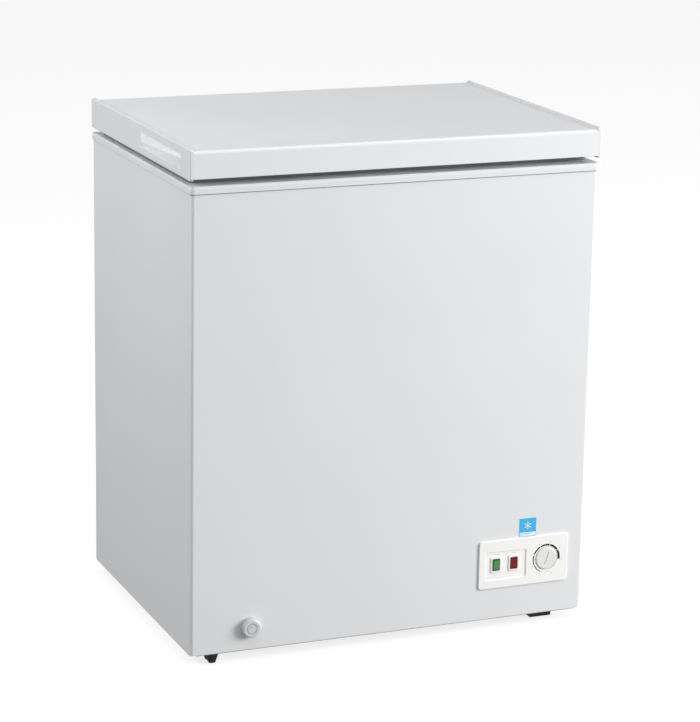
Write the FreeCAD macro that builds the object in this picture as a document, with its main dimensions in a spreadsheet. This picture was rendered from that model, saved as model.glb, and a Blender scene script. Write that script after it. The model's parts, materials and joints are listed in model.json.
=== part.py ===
"""Chest freezer of about 140 litres, as separate parts, in millimetres.

Frame: origin on the floor under the middle of the cabinet, +X to the right, -Y to the front, +Z up.
"""

import FreeCAD, Part
import math
import os
import re
import Sketcher
from FreeCAD import Placement, Rotation, Vector

doc = FreeCAD.newDocument("chest_freezer")

# ---------------------------------------------------------------- driving dimensions, in mm or degrees
SIZES = [
    # cabinet
    ("cabinet_width", 704.2), ("cabinet_depth", 512.0), ("cabinet_bottom", 20.5), ("frame_top", 791.1),
    ("panel_gauge", 0.8), ("corner_radius", 5.5), ("corner_return", 12.0), ("window_margin", 8.0),
    ("base_gauge", 1.5), ("base_inset", 11.0), ("base_setback", 1.0),
    ("wall", 58.0), ("tub_floor", 78.0), ("liner_gauge", 1.0), ("tub_corner", 24.0),
    ("step_width", 206.0), ("step_rise", 217.0),
    ("bay_width", 215.0), ("bay_rise", 226.0), ("bay_gauge", 0.8),
    # top frame
    ("frame_overhang_side", 1.9), ("frame_overhang_front", 1.8), ("frame_skirt", 12.3),
    ("frame_cap", 5.3), ("frame_lip_rise", 4.0), ("frame_lip_setback", 1.1),
    ("frame_inner_wall", 3.0), ("frame_inner_drop", 16.0),
    # lid
    ("lid_overhang_side", 2.9), ("lid_overhang_front", 2.25), ("lid_gap", 8.4), ("lid_rise", 47.1),
    ("lid_gauge", 0.8), ("lid_fold", 5.0), ("lid_return", 9.0), ("lid_edge_rise", 3.5),
    ("cap_width", 5.8), ("cap_wall", 2.5), ("cap_lip", 3.4), ("cap_round", 2.2), ("cap_end_round", 4.0),
    ("cap_fit", 0.4),
    ("grip_start", 43.5), ("grip_length", 210.0), ("grip_lift", 12.3), ("grip_rise", 24.8),
    ("grip_depth", 15.0), ("grip_sill", 8.0), ("grip_wall", 2.0), ("grip_full", 0.35),
    ("inner_panel_gauge", 1.5), ("inner_panel_inset", 5.0), ("plug_drop", 12.5),
    ("plug_gap_side", 22.0), ("plug_gap_front", 22.0),
    ("gasket_side", 10.0), ("gasket_front", 33.0), ("gasket_width", 16.0), ("gasket_gap", 0.3),
    ("gasket_groove", 2.5), ("gasket_round", 6.0),
    # hinges
    ("hinge_margin", 117.1), ("hinge_axis_back", 8.5), ("hinge_axis_rise", 9.0), ("pin_radius", 2.5),
    ("pin_clearance", 0.08), ("hinge_gauge", 2.0), ("hinge_width", 46.0), ("hinge_drop", 70.0),
    ("knuckle_radius", 5.2), ("arm_rise", 38.0), ("arm_gap", 0.8), ("hinge_gap", 0.5), ("hinge_reach", 15.5),
    ("cover_wall", 1.6), ("pin_head_gauge", 1.5), ("spring_wire", 0.7), ("spring_turns", 8.0),
    # control panel
    ("panel_margin", 29.6), ("panel_width", 165.0), ("panel_low", 74.0), ("panel_rise", 84.0),
    ("panel_proud", 2.6), ("panel_corner", 5.0), ("panel_collar", 9.0), ("collar_inset", 5.0),
    ("collar_wall", 2.0), ("dish_left", 11.5), ("dish_low", 14.5), ("dish_width", 76.0), ("dish_rise", 50.0),
    ("dish_depth", 1.2), ("dish_corner", 2.5),
    ("lamp_inset", 32.0), ("lamp_spacing", 32.9), ("lamp_lift", 41.8),
    ("lens_width", 13.0), ("lens_rise", 20.8), ("lens_proud", 1.4), ("lens_depth", 12.0), ("lens_wall", 1.8),
    ("bezel_width", 20.0), ("bezel_rise", 27.6), ("bezel_proud", 1.2), ("bezel_corner", 3.5), ("fit_gap", 0.1),
    ("knob_inset", 39.8), ("knob_lift", 43.0), ("knob_radius", 19.8), ("knob_reach", 2.4),
    ("knob_gap", 0.4), ("knob_face", 1.0), ("well_depth", 1.6), ("well_gap", 1.2), ("coin_slot_length", 24.0),
    ("coin_slot_width", 1.3), ("coin_slot_depth", 0.5), ("coin_slot_turn", 19.5),
    ("shaft_radius", 3.0), ("shaft_clearance", 0.08),
    ("thermostat_width", 44.0), ("thermostat_rise", 32.0), ("thermostat_depth", 26.0),
    ("label_inset", 73.7), ("label_width", 31.5), ("label_rise", 32.4), ("label_gap", 0.6),
    ("label_gauge", 0.2),
    # drain
    ("drain_margin", 102.8), ("drain_height", 59.0), ("dial_radius", 16.4), ("dial_reach", 10.5),
    ("dial_gap", 0.5), ("dial_face", 8.8), ("dial_notches", 32.0), ("spout_radius", 7.0), ("spout_wall", 1.5),
    ("spout_clearance", 0.08), ("sleeve_wall", 1.6), ("spout_length", 60.0), ("drain_back", 110.0), ("drain_flare", 0.8),
    ("plug_radius", 13.0), ("plug_rise", 9.0), ("plug_gap", 0.3), ("plug_head", 3.0),
    # machinery
    ("shell_radius", 62.0), ("shell_rise", 165.0), ("shell_margin", 112.1), ("shell_setback", 161.0),
    ("shell_foot", 3.0), ("seam_proud", 2.5), ("plinth_gauge", 2.0), ("plinth_length", 190.0),
    ("plinth_width", 150.0), ("bolt_inset", 14.0),
    ("grommet_radius", 10.0), ("grommet_rise", 18.0), ("bolt_radius", 3.0), ("bolt_head", 4.0),
    ("relay_width", 52.0), ("relay_depth", 40.0), ("relay_rise", 58.0), ("relay_lift", 30.0),
    ("relay_proud", 22.0), ("relay_round", 4.0),
    ("tube_radius", 3.0), ("coil_tube", 4.0), ("coil_pitch", 60.0), ("coil_turns", 7.0), ("coil_lift", 30.0),
    ("condenser_pitch", 75.0), ("condenser_gap", 1.0), ("condenser_turns", 6.0), ("condenser_corner", 12.0),
    ("condenser_lift", 50.0), ("drier_radius", 9.5), ("drier_neck", 2.5), ("drier_length", 100.0),
    ("drier_end", 8.0), ("capillary_radius", 1.2), ("harness_radius", 3.2),
    # back and side covers
    ("cover_margin", 16.0), ("grille_length", 250.0), ("grille_rise", 150.0), ("grille_proud", 1.8),
    ("grille_setback", 196.0), ("grille_lift", 29.5), ("grille_border", 14.0), ("grille_round", 6.0),
    ("slot_width", 5.0), ("slot_pitch", 12.0), ("louvre_lift", 55.0), ("louvre_gap", 22.0),
    ("cover_gauge", 1.2), ("screw_radius", 2.0), ("screw_head", 4.0), ("screw_length", 9.0),
    ("screw_inset", 6.0), ("gland_radius", 9.0), ("gland_bore", 4.0), ("gland_length", 14.0),
    ("gland_inset", 30.0), ("gland_lift", 26.0), ("gland_lip", 3.0), ("gland_inside", 5.0),
    # feet and rollers
    ("foot_margin", 59.6), ("foot_setback", 32.0), ("foot_length", 43.6), ("foot_taper", 2.5),
    ("foot_width", 30.0), ("roller_margin", 41.1), ("roller_setback", 19.0),
    ("wheel_radius", 6.5), ("wheel_width", 16.0), ("axle_radius", 1.6), ("axle_clearance", 0.08),
    ("axle_head", 4.5), ("axle_head_gauge", 1.0), ("tread_round", 0.8),
    ("fork_gauge", 1.6), ("fork_top", 23.0), ("fork_foot", 10.5), ("fork_lift", 1.2), ("fork_round", 3.0),
    # basket
    ("basket_length", 240.0), ("basket_drop", 170.0), ("basket_gap", 9.0), ("rim_wire", 2.5),
    ("mesh_wire", 1.4), ("basket_taper", 12.0), ("cross_wires", 9.0), ("long_wires", 11.0),
    ("hanger_reach", 8.0), ("rim_below_frame", 9.0), ("mesh_margin", 8.0), ("mesh_inset", 4.0),
]

sheet = doc.addObject("Spreadsheet::Sheet", "dims")
for row, (alias, number) in enumerate(SIZES, start=1):
    sheet.set("A%d" % row, alias)
    sheet.set("B%d" % row, str(number))
    sheet.setAlias("B%d" % row, alias)
doc.recompute()

ALIASES = {alias for alias, number in SIZES}
PIECES = []

# places that several parts share, as sums of the sheet's sizes
FRONT = "(-cabinet_depth / 2)"
BACK = "(cabinet_depth / 2)"
RIGHT = "(cabinet_width / 2)"
LEFT = "(-cabinet_width / 2)"
PANEL_TOP = "(frame_top - frame_cap)"
TUB_LEFT = "(wall - cabinet_width / 2)"
TUB_WIDTH = "(cabinet_width - 2 * wall)"
TUB_FRONT = "(wall - cabinet_depth / 2)"
TUB_DEPTH = "(cabinet_depth - 2 * wall)"
STEP_FACE = "(cabinet_width / 2 - wall - step_width)"
STEP_TOP = "(tub_floor + step_rise)"
BAY_LEFT = "(cabinet_width / 2 - panel_gauge - bay_width)"
BAY_TOP = "(cabinet_bottom + bay_rise)"
PANEL_FRONT = "(-cabinet_depth / 2 - panel_proud)"
INNER_PANEL_LOW = "(frame_top + lid_gap + lid_edge_rise - inner_panel_gauge)"
HINGE_Y = "(cabinet_depth / 2 + hinge_axis_back)"
HINGE_Z = "(frame_top + hinge_axis_rise)"
SLEEVE_BORE = "(spout_radius + spout_clearance)"
SLEEVE_RADIUS = "(spout_radius + spout_clearance + sleeve_wall)"
RISE_RADIUS = "(spout_radius + spout_clearance + sleeve_wall + drain_flare)"
RISE_LOW = "(drain_height - spout_radius - spout_clearance - 2 * sleeve_wall)"
COVER_WIDTH = "(bay_width - 2 * cover_margin)"
COVER_RISE = "(bay_rise - 2 * cover_margin)"
LID_WIDTH = "(cabinet_width + 2 * lid_overhang_side)"
LID_DEPTH = "(cabinet_depth + 2 * lid_overhang_front)"
LID_BOTTOM = "(frame_top + lid_gap)"
LID_TOP = "(frame_top + lid_gap + lid_rise)"
GRIP_LOW = "(frame_top + lid_gap + grip_lift)"
HINGE_ACROSS = "(cabinet_width / 2 - hinge_margin)"
PANEL_LEFT = "(cabinet_width / 2 - panel_margin - panel_width)"
LAMP_GREEN = "(cabinet_width / 2 - panel_margin - panel_width + lamp_inset)"
LAMP_RED = "(cabinet_width / 2 - panel_margin - panel_width + lamp_inset + lamp_spacing)"
LAMP_HEIGHT = "(panel_low + lamp_lift)"
KNOB_ACROSS = "(cabinet_width / 2 - panel_margin - knob_inset)"
KNOB_HEIGHT = "(panel_low + knob_lift)"
DRAIN_ACROSS = "(drain_margin - cabinet_width / 2)"
SHELL_ACROSS = "(cabinet_width / 2 - shell_margin)"
SHELL_BACK = "(cabinet_depth / 2 - shell_setback)"
FOOT_LOW = "(cabinet_bottom + plinth_gauge + grommet_rise)"
SHELL_LOW = "(cabinet_bottom + plinth_gauge + grommet_rise + shell_foot)"
KNOB_BACK = "(well_depth - cabinet_depth / 2 - panel_proud - knob_gap)"
BASE_LOW = "(cabinet_bottom - base_gauge)"
ROLLER_ACROSS = "(roller_margin - cabinet_width / 2)"
GRILLE_FRONT = "(cabinet_depth / 2 - grille_setback - grille_length / 2)"
GRILLE_LOW = "(cabinet_bottom + grille_lift)"


# ---------------------------------------------------------------- helpers
def formula(text):
    """Point each size named in an expression at its cell in the sheet."""
    return re.sub(r"[a-z][a-z_]*", lambda word: "dims." + word[0] if word[0] in ALIASES else word[0], text)


def bind(thing, **formulas):
    """Tie properties to expressions; x, y and z stand for the placement's base."""
    for name, text in formulas.items():
        path = "Placement.Base." + name if name in ("x", "y", "z") else name
        thing.setExpression(path, formula(str(text)))
    return thing


def box(name, x, y, z, length, width, height):
    return bind(doc.addObject("Part::Box", name), x=x, y=y, z=z, Length=length, Width=width, Height=height)


TURNS = {"x": Rotation(Vector(0, 1, 0), 90), "y": Rotation(Vector(1, 0, 0), -90), "z": Rotation()}


def rod(name, axis, x, y, z, radius, length):
    """A cylinder from a point along +X, +Y or +Z."""
    thing = doc.addObject("Part::Cylinder", name)
    thing.Placement = Placement(Vector(), TURNS[axis])
    return bind(thing, x=x, y=y, z=z, Radius=radius, Height=length)


def fuse(name, *shapes):
    thing = doc.addObject("Part::MultiFuse", name)
    thing.Shapes = list(shapes)
    return thing


def cut(name, base, *tools):
    thing = doc.addObject("Part::Cut", name)
    thing.Base = base
    thing.Tool = tools[0] if len(tools) == 1 else fuse(name + "_tools", *tools)
    return thing


def rounded(name, base, radius, chosen):
    """Round the edges that a test on each edge picks."""
    doc.recompute()
    thing = doc.addObject("Part::Fillet", name)
    thing.Base = base
    picked = [number for number, edge in enumerate(base.Shape.Edges, start=1) if chosen(edge)]
    thing.Edges = [(number, radius, radius) for number in picked]
    return thing


def along(axis):
    """A test that picks straight edges along X, Y or Z."""
    def chosen(edge):
        if edge.Curve.TypeId != "Part::GeomLine":
            return False
        return abs(getattr(edge.Curve.Direction, axis)) > 0.999
    return chosen


def origin_feature(body, role):
    return [feature for feature in body.Origin.OriginFeatures if feature.Role == role][0]


def outline(body, name, plane, points):
    """A closed sketch of straight lines whose corners are tied to expressions."""
    sketch = body.newObject("Sketcher::SketchObject", name)
    sketch.AttachmentSupport = (origin_feature(body, plane), [""])
    sketch.MapMode = "FlatFace"
    count = len(points)
    first = [Vector(10 * math.cos(2 * math.pi * i / count), 10 * math.sin(2 * math.pi * i / count), 0)
             for i in range(count)]
    for i in range(count):
        sketch.addGeometry(Part.LineSegment(first[i], first[(i + 1) % count]), False)
    for i in range(count):
        sketch.addConstraint(Sketcher.Constraint("Coincident", i, 2, (i + 1) % count, 1))
    for i, corner in enumerate(points):
        for kind, start, text in zip(("DistanceX", "DistanceY"), first[i], corner):
            rule = sketch.addConstraint(Sketcher.Constraint(kind, -1, 1, i, 1, start))
            sketch.setExpression("Constraints[%d]" % rule, formula(str(text)))
    return sketch


def padded(name, plane, points, length, radius=None, chosen=None):
    """A body: an outline on one of its planes, padded, with some edges rounded."""
    body = doc.addObject("PartDesign::Body", name)
    pad = body.newObject("PartDesign::Pad", name + "_pad")
    pad.Profile = outline(body, name + "_outline", plane, points)
    bind(pad, Length=length)
    if radius:
        doc.recompute()
        fillet = body.newObject("PartDesign::Fillet", name + "_round")
        picked = ["Edge%d" % (i + 1) for i, edge in enumerate(pad.Shape.Edges) if chosen(edge)]
        fillet.Base = (pad, picked)
        bind(fillet, Radius=radius)
    return body


def plate(name, x, z, length, height, thickness, corner):
    """An upright plate with round corners whose back lies at y = 0 and whose face is towards -Y."""
    corners = [(x, z), (f"{x} + {length}", z), (f"{x} + {length}", f"{z} + {height}"), (x, f"{z} + {height}")]
    return padded(name, "XZ_Plane", corners, thickness, corner, along("y"))


def turned(name, plane, points):
    """A body: an outline of (radius, distance along the axis), revolved about the sketch's own Y."""
    body = doc.addObject("PartDesign::Body", name)
    spin = body.newObject("PartDesign::Revolution", name + "_spin")
    sketch = outline(body, name + "_outline", plane, points)
    spin.Profile = sketch
    spin.ReferenceAxis = (sketch, ["V_Axis"])
    spin.Angle = 360
    return body


def feature(name, shape):
    thing = doc.addObject("Part::Feature", name)
    thing.Shape = shape
    return thing


def piece(label, thing):
    """Name a finished sub-part; its label names its file."""
    thing.Label = label
    PIECES.append(thing)
    return thing


def screws(name, places, axis, outward):
    """Pan-head screws at (x, y, z) expressions; axis is x, y or z and outward the head's side, +1 or -1."""
    parts = []
    for number, (x, y, z) in enumerate(places, start=1):
        at = dict(x=x, y=y, z=z)
        stem, head = dict(at), dict(at)
        if outward > 0:
            stem[axis] = f"{at[axis]} - screw_length"
        else:
            head[axis] = f"{at[axis]} - screw_head / 2"
        shank = rod(f"{name}_shank_{number}", axis, stem["x"], stem["y"], stem["z"], "screw_radius",
                    "screw_length")
        cap = rod(f"{name}_head_{number}", axis, head["x"], head["y"], head["z"], "screw_head",
                  "screw_head / 2")
        parts.append(fuse(f"{name}_{number}", shank, cap))
    return parts


def group(name, parts):
    """Several equal solids in one sub-part."""
    thing = doc.addObject("Part::Compound", name)
    thing.Links = parts
    return thing


def swept(path, radius):
    """A round tube along a wire that starts with a straight run."""
    start = path.Edges[0]
    begin = start.valueAt(start.FirstParameter)
    ring = Part.Wire([Part.makeCircle(radius, begin, start.tangentAt(start.FirstParameter))])
    return path.makePipeShell([ring], True, False, 1)


def bent_path(points, radius):
    """Straight runs through the points, joined by arcs of one radius."""
    edges = []
    last = points[0]
    for before, corner, after in zip(points, points[1:], points[2:]):
        toward = (before - corner).normalize()
        away = (after - corner).normalize()
        half = toward.getAngle(away) / 2
        leg = radius / math.tan(half)
        middle = corner + (toward + away).normalize() * (radius / math.sin(half) - radius)
        begin, end = corner + toward * leg, corner + away * leg
        if begin.distanceToPoint(last) > 1e-6:
            edges.append(Part.LineSegment(last, begin).toShape())
        edges.append(Part.Arc(begin, middle, end).toShape())
        last = end
    edges.append(Part.LineSegment(last, points[-1]).toShape())
    return Part.Wire(edges)


# ---------------------------------------------------------------- cabinet
def front_panel():
    """The front sheet, folded round both front corners, with the drain and control openings."""
    depth = "corner_return"
    points = [(LEFT, f"{FRONT} + {depth}"), (LEFT, FRONT), (RIGHT, FRONT), (RIGHT, f"{FRONT} + {depth}"),
              (f"{RIGHT} - panel_gauge", f"{FRONT} + {depth}"),
              (f"{RIGHT} - panel_gauge", f"{FRONT} + panel_gauge"),
              (f"{LEFT} + panel_gauge", f"{FRONT} + panel_gauge"),
              (f"{LEFT} + panel_gauge", f"{FRONT} + {depth}")]
    skin = padded("front_skin", "XY_Plane", points, f"{PANEL_TOP} - cabinet_bottom")
    bind(skin, z="cabinet_bottom")
    doc.recompute()
    front = -sheet.cabinet_depth / 2

    def corner(inner):
        def chosen(edge):
            line = along("z")(edge) and edge.Vertexes[0].Y < front + sheet.panel_gauge + 0.1
            return line and (edge.Vertexes[0].Y > front + 0.1) == inner
        return chosen

    outside = rounded("front_outer_round", skin, sheet.corner_radius, corner(False))
    bent = rounded("front_inner_round", outside, sheet.corner_radius - sheet.panel_gauge,
                   lambda edge: corner(True)(edge) and abs(edge.Vertexes[0].X) < sheet.cabinet_width / 2 - 0.5
                   and abs(edge.Vertexes[0].Y - front - sheet.panel_gauge) < 0.1)
    window = box("control_window", f"{PANEL_LEFT} + collar_inset", f"{FRONT} - 1", "panel_low + collar_inset",
                 "panel_width - 2 * collar_inset", "panel_gauge + 2", "panel_rise - 2 * collar_inset")
    hole = rod("drain_window", "y", DRAIN_ACROSS, f"{FRONT} - 1", "drain_height",
               SLEEVE_RADIUS, "panel_gauge + 2")
    piece("front_panel", cut("front_cut", bent, window, hole))


def side_panels():
    """Flat side sheets behind the folded corners; the right one has the bay's vent window."""
    depth = "cabinet_depth - corner_return"
    rise = f"{PANEL_TOP} - cabinet_bottom"
    y = f"{FRONT} + corner_return"
    piece("left_side_panel", box("left_side", LEFT, y, "cabinet_bottom", "panel_gauge", depth, rise))
    whole = box("right_side", f"{RIGHT} - panel_gauge", y, "cabinet_bottom", "panel_gauge", depth, rise)
    window = box("vent_window", f"{RIGHT} - panel_gauge - 1", f"{GRILLE_FRONT} + window_margin",
                 f"{GRILLE_LOW} + window_margin", "panel_gauge + 2", "grille_length - 2 * window_margin",
                 "grille_rise - 2 * window_margin")
    piece("right_side_panel", cut("right_side_cut", whole, window))


def back_panel():
    """The rear sheet between the side sheets, with the service opening of the bay."""
    width = "cabinet_width - 2 * panel_gauge"
    whole = box("back_sheet", f"{LEFT} + panel_gauge", f"{BACK} - panel_gauge", "cabinet_bottom", width,
                "panel_gauge", f"{PANEL_TOP} - cabinet_bottom")
    margin = "window_margin"
    window = box("service_window", f"{BAY_LEFT} + cover_margin + {margin}", f"{BACK} - panel_gauge - 1",
                 f"cabinet_bottom + cover_margin + {margin}", f"{COVER_WIDTH} - 2 * {margin}", "panel_gauge + 2",
                 f"{COVER_RISE} - 2 * {margin}")
    piece("back_panel", cut("back_cut", whole, window))


def bottom_plate():
    piece("bottom_plate", box("bottom", f"{LEFT} + base_inset", f"{FRONT} + base_setback", BASE_LOW,
                              "cabinet_width - 2 * base_inset", "cabinet_depth - 2 * base_setback", "base_gauge"))


def bay_lining():
    """Bent sheet that roofs the machinery bay and closes it to the left."""
    left, right, low, top = BAY_LEFT, f"{RIGHT} - panel_gauge", "cabinet_bottom", BAY_TOP
    points = [(f"{left} - bay_gauge", low), (left, low), (left, top), (right, top),
              (right, f"{top} + bay_gauge"), (f"{left} - bay_gauge", f"{top} + bay_gauge")]
    lining = padded("lining_sheet", "XZ_Plane", points, "cabinet_depth - 2 * panel_gauge")
    bind(lining, y=f"{BACK} - panel_gauge")

    def front_right(edge):
        return along("z")(edge) and edge.Vertexes[0].X > sheet.cabinet_width / 2 - 1 and edge.Vertexes[0].Y < 0
    piece("bay_lining", rounded("lining_round", lining, sheet.corner_radius - sheet.panel_gauge, front_right))


def tub_solid(name, grow, top, radius):
    """The stepped space of the tub, grown outwards by a sheet's thickness."""
    left, low = f"{TUB_LEFT} - {grow}", f"tub_floor - {grow}"
    right, step = f"-{TUB_LEFT} + {grow}", f"{STEP_TOP} - {grow}"
    points = [(left, low), (f"{STEP_FACE} + {grow}", low), (f"{STEP_FACE} + {grow}", step), (right, step),
              (right, top), (left, top)]
    body = padded(name, "XZ_Plane", points, f"{TUB_DEPTH} + 2 * {grow}")
    bind(body, y=f"-{TUB_FRONT} + {grow}")
    half_width = sheet.cabinet_width / 2 - sheet.wall

    def outer_upright(edge):
        return along("z")(edge) and abs(edge.Vertexes[0].X) > half_width - 0.1
    return rounded(name + "_round", body, radius, outer_upright)


def inner_liner():
    """Thin stepped tub with the drain's hole in its floor; its outside shapes the foam."""
    hollow = tub_solid("tub_space", "0", PANEL_TOP, sheet.tub_corner)
    outside = tub_solid("liner_outside", "liner_gauge", PANEL_TOP, sheet.tub_corner + sheet.liner_gauge)
    hole = rod("liner_hole", "z", DRAIN_ACROSS, f"{FRONT} + drain_back", "drain_height", RISE_RADIUS,
               "tub_floor")
    piece("inner_liner", cut("liner_cut", cut("liner_shell", outside, hollow), hole))
    return outside


def rectangular_coil(name, turns, low, pitch, half_width, half_depth, corner, tube):
    """Flat turns of tube round a box, one above the other, each joined to the next at the back."""
    shapes = []
    for turn in range(turns):
        z = low + turn * pitch
        loop = Part.makeBox(2 * half_width, 2 * half_depth, 2 * tube, Vector(-half_width, -half_depth, z - tube))
        inside = Part.makeBox(2 * (half_width - 2 * tube), 2 * (half_depth - 2 * tube), 2 * tube,
                              Vector(2 * tube - half_width, 2 * tube - half_depth, z - tube))
        upright = along("z")
        loop = loop.makeFillet(corner, [edge for edge in loop.Edges if upright(edge)])
        inside = inside.makeFillet(corner - 2 * tube, [edge for edge in inside.Edges if upright(edge)])
        shapes.append(loop.cut(inside))
        if turn:
            shapes.append(Part.makeBox(2 * tube, 2 * tube, pitch, Vector(-tube, half_depth - 2 * tube, z - pitch)))
    return feature(name, shapes[0].multiFuse(shapes[1:]).removeSplitter())


def evaporator_coil():
    """The cold tube, flattened against the outside of the liner above the step."""
    half_width = sheet.cabinet_width / 2 - sheet.wall + sheet.liner_gauge + 2 * sheet.coil_tube
    half_depth = sheet.cabinet_depth / 2 - sheet.wall + sheet.liner_gauge + 2 * sheet.coil_tube
    low = sheet.tub_floor + sheet.step_rise + sheet.coil_lift
    corner = sheet.tub_corner + sheet.liner_gauge + 2 * sheet.coil_tube
    coil = rectangular_coil("cold_coil", int(sheet.coil_turns), low, sheet.coil_pitch, half_width, half_depth,
                            corner, sheet.coil_tube)
    return piece("evaporator_coil", coil)


def condenser_coil():
    """The warm tube, taped inside the outer sheets above the bay."""
    reach = sheet.panel_gauge + sheet.condenser_gap
    half_width = sheet.cabinet_width / 2 - reach
    half_depth = sheet.cabinet_depth / 2 - reach
    low = sheet.cabinet_bottom + sheet.bay_rise + sheet.condenser_lift
    coil = rectangular_coil("warm_coil", int(sheet.condenser_turns), low, sheet.condenser_pitch, half_width,
                            half_depth, sheet.condenser_corner, sheet.coil_tube / 2)
    return piece("condenser_coil", coil)


def foam_insulation(tub_outside, coils):
    """Foam between the outer sheets and the liner, open over the bay, with the drain's channel."""
    block = box("foam_block", f"{LEFT} + panel_gauge", f"{FRONT} + panel_gauge", "cabinet_bottom",
                "cabinet_width - 2 * panel_gauge", "cabinet_depth - 2 * panel_gauge",
                f"{PANEL_TOP} - cabinet_bottom")
    doc.recompute()

    def front_upright(edge):
        return along("z")(edge) and edge.Vertexes[0].Y < 0
    soft = rounded("foam_round", block, sheet.corner_radius - sheet.panel_gauge, front_upright)
    bay = box("bay_space", f"{BAY_LEFT} - bay_gauge", f"{FRONT}", "cabinet_bottom - 1",
              "bay_width + bay_gauge + 10", "cabinet_depth", "bay_rise + bay_gauge + 1")
    level = rod("drain_level", "y", DRAIN_ACROSS, FRONT, "drain_height", SLEEVE_RADIUS, "drain_back")
    rise = rod("drain_rise", "z", DRAIN_ACROSS, f"{FRONT} + drain_back", RISE_LOW, RISE_RADIUS,
               f"tub_floor - {RISE_LOW}")
    return piece("foam_insulation", cut("foam_cut", soft, tub_outside, bay, level, rise, *coils))


def top_frame():
    """Moulded ring over the wall's top: an outer skirt, a flat cap and a lip down inside the tub."""
    width = "cabinet_width + 2 * frame_overhang_side"
    depth = "cabinet_depth + 2 * frame_overhang_front"
    left, front = f"{LEFT} - frame_overhang_side", f"{FRONT} - frame_overhang_front"
    setback = "frame_lip_setback"
    skirt = box("skirt", left, front, "frame_top - frame_skirt", width, depth, "frame_skirt - frame_lip_rise")
    lip = box("lip", f"{left} + {setback}", f"{front} + {setback}", "frame_top - frame_skirt",
              f"{width} - 2 * {setback}", f"{depth} - 2 * {setback}", "frame_skirt")

    def front_upright(edge):
        return along("z")(edge) and edge.Vertexes[0].Y < 0
    radius = sheet.corner_radius + sheet.frame_overhang_side
    soft_skirt = rounded("skirt_round", skirt, radius, front_upright)
    soft_lip = rounded("lip_round", lip, radius - sheet.frame_lip_setback, front_upright)
    drop = box("frame_drop", TUB_LEFT, TUB_FRONT, "frame_top - frame_inner_drop", TUB_WIDTH, TUB_DEPTH,
               "frame_inner_drop")
    soft_drop = rounded("drop_round", drop, sheet.tub_corner, along("z"))
    solid = fuse("frame_solid", soft_skirt, soft_lip, soft_drop)
    opening = box("frame_opening", f"{TUB_LEFT} + frame_inner_wall", f"{TUB_FRONT} + frame_inner_wall",
                  "frame_top - frame_inner_drop - 1", f"{TUB_WIDTH} - 2 * frame_inner_wall",
                  f"{TUB_DEPTH} - 2 * frame_inner_wall", "frame_inner_drop + 2")
    soft_opening = rounded("opening_round", opening, sheet.tub_corner - sheet.frame_inner_wall, along("z"))
    below = box("frame_below", LEFT, FRONT, "frame_top - frame_skirt - 1", "cabinet_width",
                "cabinet_depth", f"{PANEL_TOP} - frame_top + frame_skirt + 1")
    soft_below = rounded("below_round", below, sheet.corner_radius, front_upright)
    inner = box("frame_inner_keep", TUB_LEFT, TUB_FRONT, "frame_top - frame_inner_drop - 1", TUB_WIDTH,
                TUB_DEPTH, "frame_inner_drop + 1")
    soft_inner = rounded("inner_keep_round", inner, sheet.tub_corner, along("z"))
    trough = cut("frame_trough", soft_below, soft_inner)
    piece("top_frame", cut("frame_cut", solid, soft_opening, trough))


# ---------------------------------------------------------------- lid
LID_LEFT = "(-cabinet_width / 2 - lid_overhang_side)"
LID_FRONT = "(-cabinet_depth / 2 - lid_overhang_front)"
LID_BACK = "(cabinet_depth / 2 + lid_overhang_front)"
SHEET_LOW = "(frame_top + lid_gap + lid_edge_rise)"
SKIN_WIDTH = "(cabinet_width + 2 * lid_overhang_side - 2 * cap_width)"
SHEET_RISE = "(lid_rise - lid_edge_rise - 2 * lid_gauge)"


def lid_skin():
    """The lid's sheet: a top with front and rear edges folded down and turned in."""
    low, top, gauge = SHEET_LOW, LID_TOP, "lid_gauge"
    front, back = LID_FRONT, LID_BACK
    points = [(front, low), (front, top), (back, top), (back, low), (f"{back} - lid_return", low),
              (f"{back} - lid_return", f"{low} + {gauge}"), (f"{back} - {gauge}", f"{low} + {gauge}"),
              (f"{back} - {gauge}", f"{top} - {gauge}"), (f"{front} + {gauge}", f"{top} - {gauge}"),
              (f"{front} + {gauge}", f"{low} + {gauge}"), (f"{front} + lid_return", f"{low} + {gauge}"),
              (f"{front} + lid_return", low)]
    skin = padded("lid_sheet", "YZ_Plane", points, SKIN_WIDTH)
    bind(skin, x=f"-{SKIN_WIDTH} / 2")
    doc.recompute()
    room = skin.Shape.BoundBox

    def outer(edge):
        return along("x")(edge) and edge.Vertexes[0].Z > room.ZMax - 0.1

    def inner(edge):
        return along("x")(edge) and abs(edge.Vertexes[0].Z - room.ZMax + sheet.lid_gauge) < 0.1 \
            and abs(abs(edge.Vertexes[0].Y) - room.YMax + sheet.lid_gauge) < 0.1
    soft = rounded("lid_outer_fold", skin, sheet.lid_fold, outer)
    piece("lid_skin", rounded("lid_inner_fold", soft, sheet.lid_fold - sheet.lid_gauge, inner))


def grip_wedge(name, grow, side):
    """The hand hold's space: deep at its front end, running out to nothing at its rear end."""
    face = f"{side} * {LID_WIDTH} / 2"
    mouth = f"{side} * ({LID_WIDTH} / 2 + 1)" if grow == "0" else face
    inner = f"{side} * ({LID_WIDTH} / 2 - grip_depth - {grow})"
    shallow = face if grow == "0" else f"{side} * ({LID_WIDTH} / 2 - cap_width)"
    near = f"{LID_FRONT} + grip_start - {grow}"
    far = f"{near} + grip_length + 2 * {grow}"
    points = [(mouth, near), (inner, near), (inner, f"{near} + grip_length * grip_full"), (shallow, far),
              (mouth, far)]
    wedge = padded(name, "XY_Plane", points, f"grip_rise + 2 * {grow}")
    return bind(wedge, z=f"{GRIP_LOW} - {grow}")


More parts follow.
